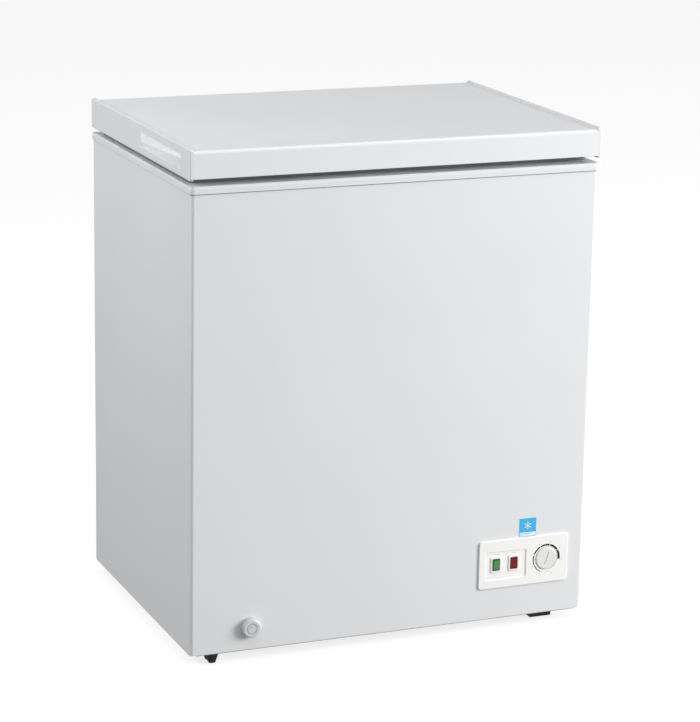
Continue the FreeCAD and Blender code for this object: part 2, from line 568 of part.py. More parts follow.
def grip_sill(name, side):
    """The sloping sill left standing along the bottom of the hand hold."""
    low = GRIP_LOW
    face = f"{side} * ({LID_WIDTH} / 2 - lid_gauge)"
    inner = f"{side} * ({LID_WIDTH} / 2 - grip_depth)"
    points = [(face, low), (inner, low), (inner, f"{low} + grip_sill")]
    if side > 0:
        points.reverse()
    sill = padded(name, "XZ_Plane", points, "grip_length")
    return bind(sill, y=f"{LID_FRONT} + grip_start + grip_length")


def lid_end_cap(label, side):
    """Moulded end of the lid with its hand hold; the back is hollow."""
    near = f"{(1 + side) // 2} * cap_width"
    outer = box(label + "_block", f"{side} * {LID_WIDTH} / 2 - {near}", LID_FRONT,
                LID_BOTTOM, "cap_width", LID_DEPTH, "lid_rise + cap_lip")
    doc.recompute()
    far = max(abs(outer.Shape.BoundBox.XMin), abs(outer.Shape.BoundBox.XMax))

    def face_edge(edge):
        return not along("x")(edge) and all(abs(abs(v.X) - far) < 0.1 for v in edge.Vertexes)

    def end_edge(edge):
        return along("x")(edge)
    squared = rounded(label + "_ends", outer, sheet.cap_end_round, end_edge)
    soft = rounded(label + "_soft", squared, sheet.cap_round, face_edge)
    hollow = box(label + "_hollow", f"{side} * ({LID_WIDTH} / 2 - cap_wall) - {near}",
                 f"{LID_FRONT} + cap_wall", f"{SHEET_LOW} + lid_gauge + cap_fit", "cap_width",
                 f"{LID_DEPTH} - 2 * cap_wall", f"{SHEET_RISE} - 2 * cap_fit")
    shell = cut(label + "_shell", soft, hollow)
    pocket = grip_wedge(label + "_pocket", "grip_wall", side)
    walled = fuse(label + "_walled", shell, pocket)
    space = grip_wedge(label + "_space", "0", side)
    sill = grip_sill(label + "_sill", side)
    open_space = cut(label + "_open_space", space, sill)
    piece(label, cut(label + "_cut", walled, open_space))
    return pocket


def lid_inner_panel():
    """Vacuum-formed lining of the lid with a raised plug that drops into the tub's mouth."""
    inset = "inner_panel_inset"
    width = f"{SKIN_WIDTH} - 2 * {inset}"
    flat = box("inner_flat", f"-({width}) / 2", f"{LID_FRONT} + {inset}", INNER_PANEL_LOW, width,
               f"{LID_DEPTH} - 2 * {inset}", "inner_panel_gauge")
    outside = lid_plug("plug_outside", "0", sheet.tub_corner)
    inside = lid_plug("plug_inside", "inner_panel_gauge", sheet.tub_corner - sheet.inner_panel_gauge)
    piece("lid_inner_panel", cut("inner_cut", fuse("inner_whole", flat, outside), inside))
    return inside


def lid_plug(name, shrink, radius):
    """The plug's block; shrink gives the hollow behind its wall."""
    width = f"({TUB_WIDTH} - 2 * plug_gap_side - 2 * {shrink})"
    depth = f"({TUB_DEPTH} - 2 * plug_gap_front - 2 * {shrink})"
    low = f"{INNER_PANEL_LOW} - plug_drop + {shrink}"
    block = box(name, f"-{width} / 2", f"-{depth} / 2", low, width, depth,
                f"plug_drop + inner_panel_gauge - {shrink}")
    return rounded(name + "_round", block, radius, along("z"))


def lid_foam(pockets, plug_inside):
    """Foam that fills the lid between its sheet, end caps and lining."""
    low = f"{SHEET_LOW} + lid_gauge"
    core = box("lid_core", f"-{SKIN_WIDTH} / 2", f"{LID_FRONT} + lid_gauge", low, SKIN_WIDTH,
               f"{LID_DEPTH} - 2 * lid_gauge", SHEET_RISE)
    doc.recompute()
    top = core.Shape.BoundBox.ZMax

    def top_edge(edge):
        return along("x")(edge) and edge.Vertexes[0].Z > top - 0.1
    soft = rounded("lid_core_round", core, sheet.lid_fold - sheet.lid_gauge, top_edge)
    floor = box("lid_floor", f"-{SKIN_WIDTH} / 2", f"{LID_FRONT} + lid_return", SHEET_LOW, SKIN_WIDTH,
                f"{LID_DEPTH} - 2 * lid_return", "lid_gauge")
    parts = [soft, floor, plug_inside]
    for number, x in enumerate((f"cap_wall - {LID_WIDTH} / 2", f"{SKIN_WIDTH} / 2"), start=1):
        parts.append(box(f"cap_fill_{number}", x, f"{LID_FRONT} + cap_wall", f"{low} + cap_fit",
                         "cap_width - cap_wall", f"{LID_DEPTH} - 2 * cap_wall", f"{SHEET_RISE} - 2 * cap_fit"))
    whole = fuse("lid_foam_whole", *parts)
    piece("lid_foam", cut("lid_foam_cut", whole, *pockets))


def lid_gasket():
    """Soft ring between the lid's lining and the top frame, with a bellows groove round its outside."""
    low = "frame_top + gasket_gap"
    rise = f"({INNER_PANEL_LOW} - frame_top - gasket_gap)"

    def ring_block(name, inset, z, height):
        side, front = f"(gasket_side + {inset})", f"(gasket_front + {inset})"
        return box(name, f"{LID_LEFT} + {side}", f"{LID_FRONT} + {front}", z, f"{LID_WIDTH} - 2 * {side}",
                   f"{LID_DEPTH} - 2 * {front}", height)
    belt_low, belt_rise = f"{low} + {rise} * 0.45", f"{rise} * 0.2"
    radius = sheet.gasket_round
    outer = rounded("gasket_outer", ring_block("gasket_block", "0", low, rise), radius, along("z"))
    core = ring_block("gasket_core", "gasket_width", f"{low} - 1", f"{rise} + 2")
    belt_core = ring_block("gasket_belt_block", "gasket_groove", f"{belt_low} - 1", f"{belt_rise} + 2")
    groove = cut("gasket_groove_ring", ring_block("gasket_belt", "-1", belt_low, belt_rise),
                 rounded("gasket_belt_core", belt_core, radius, along("z")))
    piece("lid_gasket", cut("gasket_cut", outer, rounded("gasket_inner", core, radius, along("z")), groove))


# ---------------------------------------------------------------- hinges
PIN_HOLE = "pin_radius + pin_clearance"
ARM_WIDTH = "(hinge_width - 2 * hinge_gauge - 2 * hinge_gap)"
ARM_LOW = "(frame_top + hinge_axis_rise + knuckle_radius + arm_gap)"
BRACKET_TOP = "(frame_top - frame_skirt - hinge_gap)"


def hinge(side_name, side):
    """A bracket on the cabinet, an arm on the lid, their pin and spring, and the bracket's cover."""
    middle = f"{side} * {HINGE_ACROSS}"
    bracket_low = f"({HINGE_Z} - hinge_drop)"

    def named(text):
        return f"{text}_{side_name}"

    parts = [box(named("hinge_plate"), f"{middle} - hinge_width / 2", BACK, bracket_low, "hinge_width",
                 "hinge_gauge", f"{BRACKET_TOP} - {bracket_low}")]
    for end in (-1, 1):
        x = f"{middle} + {end} * hinge_width / 2 - {(1 + end) // 2} * hinge_gauge"
        lower = box(named("ear_low"), x, BACK, bracket_low, "hinge_gauge", "hinge_axis_back + knuckle_radius",
                    f"{BRACKET_TOP} - {bracket_low}")
        upper = box(named("ear_high"), x, f"{BACK} + frame_overhang_front + hinge_gap", bracket_low,
                    "hinge_gauge", "hinge_axis_back + knuckle_radius - frame_overhang_front - hinge_gap",
                    "hinge_drop")
        knuckle = rod(named("knuckle"), "x", x, HINGE_Y, HINGE_Z, "knuckle_radius", "hinge_gauge")
        parts += [lower, upper, knuckle]
    hole = rod(named("bracket_hole"), "x", f"{middle} - hinge_width", HINGE_Y, HINGE_Z, "pin_radius",
               "2 * hinge_width")
    piece(named("hinge_bracket"), cut(named("bracket_cut"), fuse(named("bracket"), *parts), hole))

    parts = [box(named("arm_plate"), f"{middle} - {ARM_WIDTH} / 2", LID_BACK, ARM_LOW,
                 ARM_WIDTH, "hinge_gauge", "arm_rise")]
    for end in (-1, 1):
        x = f"{middle} + {end} * {ARM_WIDTH} / 2 - {(1 + end) // 2} * hinge_gauge"
        web = box(named("arm_web"), x, LID_BACK, HINGE_Z, "hinge_gauge", f"{HINGE_Y} - {LID_BACK}",
                  "2.5 * knuckle_radius")
        knuckle = rod(named("arm_knuckle"), "x", x, HINGE_Y, HINGE_Z, "knuckle_radius", "hinge_gauge")
        parts += [web, knuckle]
    hole = rod(named("arm_hole"), "x", f"{middle} - hinge_width", HINGE_Y, HINGE_Z, PIN_HOLE,
               "2 * hinge_width")
    piece(named("hinge_arm"), cut(named("arm_cut"), fuse(named("arm"), *parts), hole))

    pin = rod(named("pin_shank"), "x", f"{middle} - hinge_width / 2", HINGE_Y, HINGE_Z, "pin_radius",
              "hinge_width")
    heads = [rod(named("pin_head"), "x", f"{middle} + {end} * (hinge_width + pin_head_gauge) / 2"
                 " - pin_head_gauge / 2", HINGE_Y, HINGE_Z, "pin_radius * 1.6", "pin_head_gauge")
             for end in (-1, 1)]
    pinned = fuse(named("pin"), pin, *heads)

    wire, loops = sheet.spring_wire, sheet.spring_turns
    span = 2 * loops * wire * 1.25
    coil_radius = sheet.pin_radius + wire + sheet.hinge_gap
    helix = Part.makeHelix(span / loops, span, coil_radius)
    start = Vector(coil_radius, 0, 0)
    ring = Part.Wire([Part.makeCircle(wire, start, Vector(0, 1, 0))])
    spring = feature(named("spring"), Part.Wire(helix).makePipeShell([ring], True, True))
    spring.Placement = Placement(Vector(), TURNS["x"])
    bind(spring, x=f"{middle} - {span} / 2", y=HINGE_Y, z=HINGE_Z)

    outer = box(named("cover_outer"), f"{middle} - hinge_width / 2 - 2 * cover_wall", BACK,
                f"{bracket_low} - 2 * cover_wall", "hinge_width + 4 * cover_wall", "hinge_reach",
                f"{BRACKET_TOP} - {bracket_low} + 2 * cover_wall")
    doc.recompute()
    far = (sheet.cabinet_depth / 2 + sheet.hinge_reach)
    soft = rounded(named("cover_soft"), outer, 1.5,
                   lambda edge: all(vertex.Y > far - 0.1 for vertex in edge.Vertexes)
                   or along("y")(edge) and edge.Vertexes[0].Z < sheet.frame_top - 30)
    inner = box(named("cover_inner"), f"{middle} - hinge_width / 2 - cover_wall", f"{BACK} - 1",
                f"{bracket_low} - cover_wall", "hinge_width + 2 * cover_wall",
                "hinge_reach + 1 - cover_wall", "hinge_drop * 2")
    return pinned, spring, cut(named("cover_cut"), soft, inner)


def hinges():
    """Both hinges, and the screws of their brackets into the cabinet and of their arms into the lid."""
    pairs = zip(hinge("left", -1), hinge("right", 1))
    for label, pair in zip(("hinge_pins", "hinge_springs", "hinge_covers"), pairs):
        piece(label, group(label + "_pair", list(pair)))
    base, lid = [], []
    for side in (-1, 1):
        for across in (-1, 1):
            x = f"{side} * {HINGE_ACROSS} + {across} * hinge_width / 4"
            for drop in (0.4, 0.85):
                base.append((x, f"{BACK} + hinge_gauge", f"{HINGE_Z} - hinge_drop * {drop}"))
            lid.append((x, f"{LID_BACK} + hinge_gauge", f"{ARM_LOW} + arm_rise * 0.62"))
    piece("bracket_screws", group("bracket_screw_group", screws("bracket_screw", base, "y", 1)))
    piece("arm_screws", group("arm_screw_group", screws("arm_screw", lid, "y", 1)))


# ---------------------------------------------------------------- control panel
def control_panel():
    """Cream moulding with a shallow dish for the lamps and a collar through the front sheet."""
    face = plate("panel_plate", PANEL_LEFT, "panel_low", "panel_width", "panel_rise", "panel_proud",
                 "panel_corner")
    bind(face, y=FRONT)
    doc.recompute()
    front = -sheet.cabinet_depth / 2 - sheet.panel_proud
    soft = rounded("panel_soft", face, 1.0, lambda edge: all(v.Y < front + 0.01 for v in edge.Vertexes))
    inset = "(collar_inset + fit_gap)"
    collar = box("panel_collar_block", f"{PANEL_LEFT} + {inset}", FRONT, f"panel_low + {inset}",
                 f"panel_width - 2 * {inset}", "panel_collar", f"panel_rise - 2 * {inset}")
    inside = "(collar_inset + fit_gap + collar_wall)"
    core = box("panel_collar_core", f"{PANEL_LEFT} + {inside}", FRONT, f"panel_low + {inside}",
               f"panel_width - 2 * {inside}", "panel_collar + 1", f"panel_rise - 2 * {inside}")
    whole = fuse("panel_whole", soft, cut("panel_collar_ring", collar, core))
    dish = plate("panel_dish", f"{PANEL_LEFT} + dish_left", "panel_low + dish_low", "dish_width", "dish_rise",
                 "dish_depth + 1", "dish_corner")
    bind(dish, y=f"{PANEL_FRONT} + dish_depth")
    doc.recompute()
    floor = dish.Shape.BoundBox.YMax
    dish = rounded("panel_dish_soft", dish, sheet.dish_depth * 0.9,
                   lambda edge: all(v.Y > floor - 0.01 for v in edge.Vertexes))
    ahead, through = f"{PANEL_FRONT} - 1", "panel_proud + 2"
    tools = [dish, rod("panel_shaft_hole", "y", KNOB_ACROSS, ahead, KNOB_HEIGHT,
                       "shaft_radius + shaft_clearance", through),
             rod("knob_well", "y", KNOB_ACROSS, ahead, KNOB_HEIGHT, "knob_radius + well_gap", "well_depth + 1")]
    for across in (LAMP_GREEN, LAMP_RED):
        tools.append(box("lamp_window", f"{across} - {HOUSING_WIDTH} / 2 - fit_gap", ahead,
                         f"{LAMP_HEIGHT} - {HOUSING_RISE} / 2 - fit_gap", f"{HOUSING_WIDTH} + 2 * fit_gap",
                         through, f"{HOUSING_RISE} + 2 * fit_gap"))
    piece("control_panel", cut("panel_cut", whole, *tools))


HOUSING_WIDTH = "(lens_width + 2 * lens_wall)"
HOUSING_RISE = "(lens_rise + 2 * lens_wall)"
DISH_FLOOR = "(-cabinet_depth / 2 - panel_proud + dish_depth)"
BEZEL_FACE = "(-cabinet_depth / 2 - panel_proud + dish_depth - bezel_proud)"


def lamp(name, across):
    """A lamp: its bezel in the panel's dish and its coloured lens."""
    rim = plate(name + "_rim", f"{across} - bezel_width / 2", f"{LAMP_HEIGHT} - bezel_rise / 2", "bezel_width",
                "bezel_rise", "bezel_proud", "bezel_corner")
    bind(rim, y=DISH_FLOOR)
    housing = box(name + "_housing", f"{across} - {HOUSING_WIDTH} / 2", DISH_FLOOR,
                  f"{LAMP_HEIGHT} - {HOUSING_RISE} / 2", HOUSING_WIDTH, "lens_depth", HOUSING_RISE)
    window = plate(name + "_window", f"{across} - lens_width / 2 - fit_gap",
                   f"{LAMP_HEIGHT} - lens_rise / 2 - fit_gap", "lens_width + 2 * fit_gap",
                   "lens_rise + 2 * fit_gap", "lens_depth + 20", "1.5")
    bind(window, y=f"{DISH_FLOOR} + lens_depth + 5")
    bezel = cut(name + "_bezel_cut", fuse(name + "_bezel_whole", rim, housing), window)
    glass = plate(name + "_glass", f"{across} - lens_width / 2", f"{LAMP_HEIGHT} - lens_rise / 2", "lens_width",
                  "lens_rise", "lens_depth", "1.4")
    bind(glass, y=f"{BEZEL_FACE} - lens_proud + lens_depth")
    doc.recompute()
    front = min(vertex.Y for vertex in glass.Shape.Vertexes)
    piece(name + "_lamp_lens", rounded(name + "_lens_soft", glass, 0.8,
                                       lambda edge: all(v.Y < front + 0.01 for v in edge.Vertexes)))
    return bezel


def thermostat():
    """The dial knob on its shaft, and the switch body behind the panel."""
    radius, reach = "knob_radius", "knob_reach"
    points = [("0", "0"), (radius, "0"), (radius, f"-{reach} * 0.4"),
              (f"{radius} - 0.5", f"-{reach} * 0.75"), (f"{radius} - 1.6", f"-{reach}"), ("0", f"-{reach}")]
    knob = turned("knob", "XY_Plane", points)
    bind(knob, x=KNOB_ACROSS, y=KNOB_BACK, z=KNOB_HEIGHT)
    start = f"({KNOB_BACK} - knob_reach + knob_face)"
    bore = rod("knob_bore", "y", KNOB_ACROSS, start, KNOB_HEIGHT, "shaft_radius", "knob_reach")
    sine, cosine = "sin(coin_slot_turn * 1 deg)", "cos(coin_slot_turn * 1 deg)"
    corners = [(f"({i} * coin_slot_width * {cosine} + {j} * coin_slot_length * {sine}) / 2",
                f"({j} * coin_slot_length * {cosine} - {i} * coin_slot_width * {sine}) / 2")
               for i, j in ((-1, -1), (1, -1), (1, 1), (-1, 1))]
    slot = padded("coin_slot", "XZ_Plane", corners, "coin_slot_depth + 1")
    bind(slot, x=KNOB_ACROSS, y=f"{KNOB_BACK} - knob_reach + coin_slot_depth", z=KNOB_HEIGHT)
    piece("thermostat_knob", cut("knob_cut", knob, bore, slot))
    piece("thermostat_shaft", rod("shaft", "y", KNOB_ACROSS, start, KNOB_HEIGHT, "shaft_radius",
                                  f"{FRONT} + panel_collar - {start}"))
    body = box("switch_box", f"{KNOB_ACROSS} - thermostat_width / 2", FRONT,
               f"{KNOB_HEIGHT} - thermostat_rise / 2", "thermostat_width", "thermostat_depth", "thermostat_rise")
    bore = rod("switch_bore", "y", KNOB_ACROSS, f"{FRONT} - 1", KNOB_HEIGHT,
               "shaft_radius + shaft_clearance", "panel_collar + 3")
    piece("thermostat_switch", cut("switch_cut", body, bore))


def energy_label():
    label = plate("label_sheet", f"{PANEL_LEFT} + label_inset", "panel_low + panel_rise + label_gap",
                  "label_width", "label_rise", "label_gauge", "4 * label_gauge")
    piece("energy_label", bind(label, y=FRONT))


# ---------------------------------------------------------------- drain
def drain():
    """Sleeve through the wall to the tub's floor, sliding spout, turning dial and the tub's stopper."""
    level = rod("sleeve_level", "y", DRAIN_ACROSS, FRONT, "drain_height", SLEEVE_RADIUS, "drain_back")
    rise = rod("sleeve_rise", "z", DRAIN_ACROSS, f"{FRONT} + drain_back", RISE_LOW, RISE_RADIUS,
               f"tub_floor - {RISE_LOW}")
    bore = rod("sleeve_bore", "y", DRAIN_ACROSS, f"{FRONT} - 1", "drain_height", SLEEVE_BORE, "drain_back + 1")
    shaft = rod("sleeve_shaft", "z", DRAIN_ACROSS, f"{FRONT} + drain_back", f"{RISE_LOW} + sleeve_wall / 2",
                f"{RISE_RADIUS} - sleeve_wall", "tub_floor")
    piece("drain_sleeve", cut("sleeve_cut", fuse("sleeve", level, rise), bore, shaft))

    stem = rod("spout_stem", "y", DRAIN_ACROSS, f"{FRONT} - dial_reach * 0.5", "drain_height",
               "spout_radius", "spout_length")
    hollow = rod("spout_hollow", "y", DRAIN_ACROSS, f"{FRONT} + 3", "drain_height",
                 "spout_radius - spout_wall", "spout_length")
    outlet = rod("spout_outlet", "z", DRAIN_ACROSS, f"{FRONT} + 8", "drain_height - 2 * spout_radius",
                 "spout_radius - 3", "2 * spout_radius")
    piece("drain_spout", cut("spout_cut", stem, hollow, outlet))

    face, reach = "dial_radius", "dial_reach"
    points = [("0", "-dial_gap"), (face, "-dial_gap"), (face, f"-{reach} * 0.72"),
              (f"{face} - 1.2", f"-{reach} * 0.92"),
              (f"{face} - 2.8", f"-{reach}"), ("dial_face", f"-{reach}"), ("dial_face", f"-{reach} + 1"),
              ("dial_face - 1.3", f"-{reach} + 1"), ("dial_face - 1.3", f"-{reach}"), ("0", f"-{reach}")]
    dial = turned("dial", "XY_Plane", points)
    bind(dial, x=DRAIN_ACROSS, y=FRONT, z="drain_height")
    bore = rod("dial_bore", "y", DRAIN_ACROSS, f"{FRONT} - dial_reach * 0.5 - plug_gap", "drain_height",
               SLEEVE_BORE, "dial_reach")
    notches = []
    for number in range(int(sheet.dial_notches)):
        across, up = (f"(dial_radius + 0.5) * {turn}({number} * 360 deg / dial_notches)"
                      for turn in ("cos", "sin"))
        notches.append(rod("dial_notch", "y", f"{DRAIN_ACROSS} + {across}", f"{FRONT} - dial_reach",
                           f"drain_height + {up}", "1", "dial_reach"))
    piece("drain_dial", cut("dial_cut", dial, bore, *notches))

    back = f"{FRONT} + drain_back"
    stem = rod("stopper_stem", "z", DRAIN_ACROSS, back, "tub_floor - plug_rise", "spout_radius",
               "plug_rise + 1")
    head = rod("stopper_head", "z", DRAIN_ACROSS, back, "tub_floor + plug_gap", "plug_radius", "plug_head")
    grip = rod("stopper_grip", "z", DRAIN_ACROSS, back, "tub_floor + plug_gap", "spout_radius - 2",
               "plug_rise + plug_head")
    piece("tub_stopper", fuse("stopper", stem, head, grip))


# ---------------------------------------------------------------- machinery bay
def compressor():
    """Hermetic compressor on four rubber grommets, with its starting relay."""
    x, y = SHELL_ACROSS, SHELL_BACK
    radius, rise, seam = "shell_radius", "shell_rise", "(shell_radius + seam_proud)"
    points = [("0", "0"), (f"{radius} * 0.71", "0"), (radius, f"{radius} * 0.29"), (radius, f"{rise} * 0.55"),
              (seam, f"{rise} * 0.55"), (seam, f"{rise} * 0.58"),
              (radius, f"{rise} * 0.58"), (radius, f"{rise} * 0.84"), (f"{radius} * 0.87", f"{rise} * 0.945"),
              (f"{radius} * 0.58", rise), ("0", rise)]
    can = bind(turned("shell", "XZ_Plane", points), x=x, y=y, z=SHELL_LOW)
    half_length, half_width = "(plinth_length / 2 - bolt_inset)", "(plinth_width / 2 - bolt_inset)"
    foot = box("shell_foot_plate", f"{x} - plinth_length / 2", f"{y} - plinth_width / 2", FOOT_LOW,
               "plinth_length", "plinth_width", "shell_foot")
    corners = [(f"{x} + {i} * {half_length}", f"{y} + {j} * {half_width}") for i in (-1, 1) for j in (-1, 1)]
    through = "2 * grommet_rise"
    foot_holes = [rod("foot_hole", "z", cx, cy, "cabinet_bottom", "bolt_radius", through) for cx, cy in corners]
    piece("compressor_shell", cut("shell_cut", fuse("shell_and_foot", can, foot), *foot_holes))
    plinth = box("plinth_sheet", f"{x} - plinth_length / 2", f"{y} - plinth_width / 2", "cabinet_bottom",
                 "plinth_length", "plinth_width", "plinth_gauge")
    piece("compressor_plinth", plinth)
    grommets, bolts = [], []
    for number, (cx, cy) in enumerate(corners):
        low = "(cabinet_bottom + plinth_gauge)"
        ring = rod(f"grommet_{number}", "z", cx, cy, low, "grommet_radius", "grommet_rise")
        waist = rod(f"grommet_bore_{number}", "z", cx, cy, "cabinet_bottom", "bolt_radius", through)
        grommets.append(cut(f"grommet_cut_{number}", ring, waist))
        stem = rod(f"bolt_stem_{number}", "z", cx, cy, low, "bolt_radius",
                   "grommet_rise + shell_foot + bolt_head")
        head = rod(f"bolt_head_{number}", "z", cx, cy, SHELL_LOW, "bolt_radius * 2", "bolt_head")
        bolts.append(fuse(f"bolt_{number}", stem, head))
    piece("compressor_grommets", group("grommet_group", grommets))
    piece("compressor_bolts", group("bolt_group", bolts))
    cover = box("relay_box", f"{x} - relay_width / 2", f"{y} - shell_radius - relay_proud",
                f"{SHELL_LOW} + relay_lift", "relay_width", "relay_depth", "relay_rise")
    doc.recompute()
    front = cover.Shape.BoundBox.YMin
    soft = rounded("relay_soft", cover, sheet.relay_round,
                   lambda edge: edge.BoundBox.YMin < front + 0.1 and edge.BoundBox.YMax < front + 0.1)
    clear = rod("relay_clear", "z", x, y, SHELL_LOW, "shell_radius", "shell_rise * 0.55")
    piece("relay_cover", cut("relay_cut", soft, clear))


def tube(label, points, radius, bend):
    """A pipe through hand-placed points in the bay."""
    path = bent_path([Vector(*point) for point in points], bend)
    return piece(label, feature(label + "_pipe", swept(path, radius)))


def bay_pipes():
    """Refrigerant pipes, filter drier and wires inside the bay."""
    x = sheet.cabinet_width / 2 - sheet.shell_margin
    y = sheet.cabinet_depth / 2 - sheet.shell_setback
    low = sheet.cabinet_bottom + sheet.plinth_gauge + sheet.grommet_rise + sheet.shell_foot
    radius = sheet.shell_radius
    roof = sheet.cabinet_bottom + sheet.bay_rise
    left = x - sheet.bay_width / 2 + 22
    tube("discharge_line", [(x - radius + 1, y, low + 70), (left, y, low + 70), (left, y, low + 150),
                            (left, y - 60, low + 150), (left, y - 60, roof)], sheet.tube_radius, 8)
    tube("suction_line", [(x - 30, y - radius * 0.8, low + 110), (x - 30, y - 85, low + 110),
                          (x - 30, y - 85, roof)], sheet.tube_radius + 1, 12)
    tube("process_tube", [(x + 34, y - radius * 0.75, low + 118), (x + 34, y - 88, low + 118),
                          (x + 34, y - 88, low + 150)], sheet.tube_radius, 10)
    drier_x, drier_y, drier_lift = left + 2, y + 92, 50
    neck, body, end, length = "drier_neck", "drier_radius", "drier_end", "drier_length"
    points = [("0", "0"), (neck, "0"), (neck, end), (body, f"2 * {end}"), (body, f"{length} - 2 * {end}"),
              (neck, f"{length} - {end}"), (neck, length), ("0", length)]
    drier = turned("drier", "XZ_Plane", points)
    bind(drier, x=drier_x, y=drier_y, z=f"{SHELL_LOW} + {drier_lift}")
    piece("filter_drier", drier)
    dip = low + drier_lift / 2
    tube("capillary_tube", [(drier_x, drier_y, low + drier_lift), (drier_x, drier_y, dip),
                            (drier_x + 30, drier_y + 20, dip), (drier_x + 30, drier_y + 20, roof)],
         sheet.capillary_radius, 8)
    front = -sheet.cabinet_depth / 2
    knob_x = sheet.cabinet_width / 2 - sheet.panel_margin - sheet.knob_inset
    knob_z = sheet.panel_low + sheet.knob_lift
    wire_low, relay_z = sheet.cabinet_bottom + 42, low + sheet.relay_lift + sheet.relay_rise / 2
    ahead = y - radius - 60
    tube("wiring_harness", [(knob_x, front + sheet.thermostat_depth, knob_z), (knob_x, front + 75, knob_z),
                            (knob_x, front + 75, wire_low), (x, ahead, wire_low), (x, ahead, relay_z),
                            (x, y - radius - sheet.relay_proud, relay_z)], sheet.harness_radius, 14)


def rear_cover():
    """Louvred sheet over the bay's service opening, with its screws and the power lead's gland."""
    left, low = f"{BAY_LEFT} + cover_margin", "cabinet_bottom + cover_margin"
    whole = box("cover_sheet", left, BACK, low, COVER_WIDTH, "cover_gauge", COVER_RISE)
    slots = []
    clear = sheet.bay_rise - 2 * sheet.cover_margin - sheet.louvre_lift - sheet.grille_border
    slot_length = f"({COVER_WIDTH} - 2 * grille_border - louvre_gap) / 2"
    for row in range(int(clear // sheet.slot_pitch)):
        for column in (0, 1):
            x = f"{left} + grille_border + {column} * ({slot_length} + louvre_gap)"
            slots.append(box(f"louvre_{row}_{column}", x, f"{BACK} - 1",
                             f"{low} + louvre_lift + {row} * slot_pitch", slot_length, "cover_gauge + 2",
                             "slot_width"))
    gland_x, gland_z = f"{left} + gland_inset", f"{low} + gland_lift"
    hole = rod("gland_hole", "y", gland_x, f"{BACK} - 1", gland_z, "gland_radius - gland_lip", "cover_gauge + 2")
    piece("rear_cover", cut("rear_cover_cut", whole, hole, *slots))
    places = [(f"{left} + {i}", f"{BACK} + cover_gauge", f"{low} + {j}")
              for i in ("screw_inset", f"{COVER_WIDTH} - screw_inset")
              for j in ("screw_inset", f"{COVER_RISE} - screw_inset")]
    piece("cover_screws", group("cover_screw_group", screws("cover_screw", places, "y", 1)))

    gauge, bore, flange, inside = "cover_gauge", "gland_bore", "gland_radius", "gland_inside"
    groove, tip = "gland_radius - gland_lip", "gland_length - gland_inside"
    points = [(bore, f"-{inside}"), (flange, f"-{inside}"), (flange, "0"), (groove, "0"), (groove, gauge),
              (flange, gauge), (flange, f"{gauge} + 2"), (f"{bore} + 2.5", tip), (bore, tip)]
    gland = turned("gland", "XY_Plane", points)
    piece("cord_gland", bind(gland, x=gland_x, y=BACK, z=gland_z))


def side_grille():
    """Slotted plate over the vent window in the right side."""
    whole = box("grille_plate", RIGHT, GRILLE_FRONT, GRILLE_LOW, "grille_proud", "grille_length", "grille_rise")
    soft = rounded("grille_soft", whole, sheet.grille_round, along("x"))
    border = "grille_border"
    count = int((sheet.grille_length - 2 * sheet.grille_border + sheet.slot_pitch - sheet.slot_width)
                // sheet.slot_pitch)
    slots = [box(f"grille_slot_{n}", f"{RIGHT} - 1", f"{GRILLE_FRONT} + {border} + {n} * slot_pitch",
                 f"{GRILLE_LOW} + {border}", "grille_proud + 2", "slot_width", f"grille_rise - 2 * {border}")
             for n in range(count)]
    piece("side_grille", cut("grille_cut", soft, *slots))


# ---------------------------------------------------------------- feet and rollers
def right_foot(name, y):
    """Moulded foot, wider at the top than where it stands."""
    half, taper = "foot_length / 2", "foot_taper"
    points = [(f"-{half} + {taper}", "0"), (f"{half} - {taper}", "0"), (half, BASE_LOW), (f"-{half}", BASE_LOW)]
    foot = padded(name, "XZ_Plane", points, "foot_width")
    return bind(foot, x=f"{RIGHT} - foot_margin", y=y)


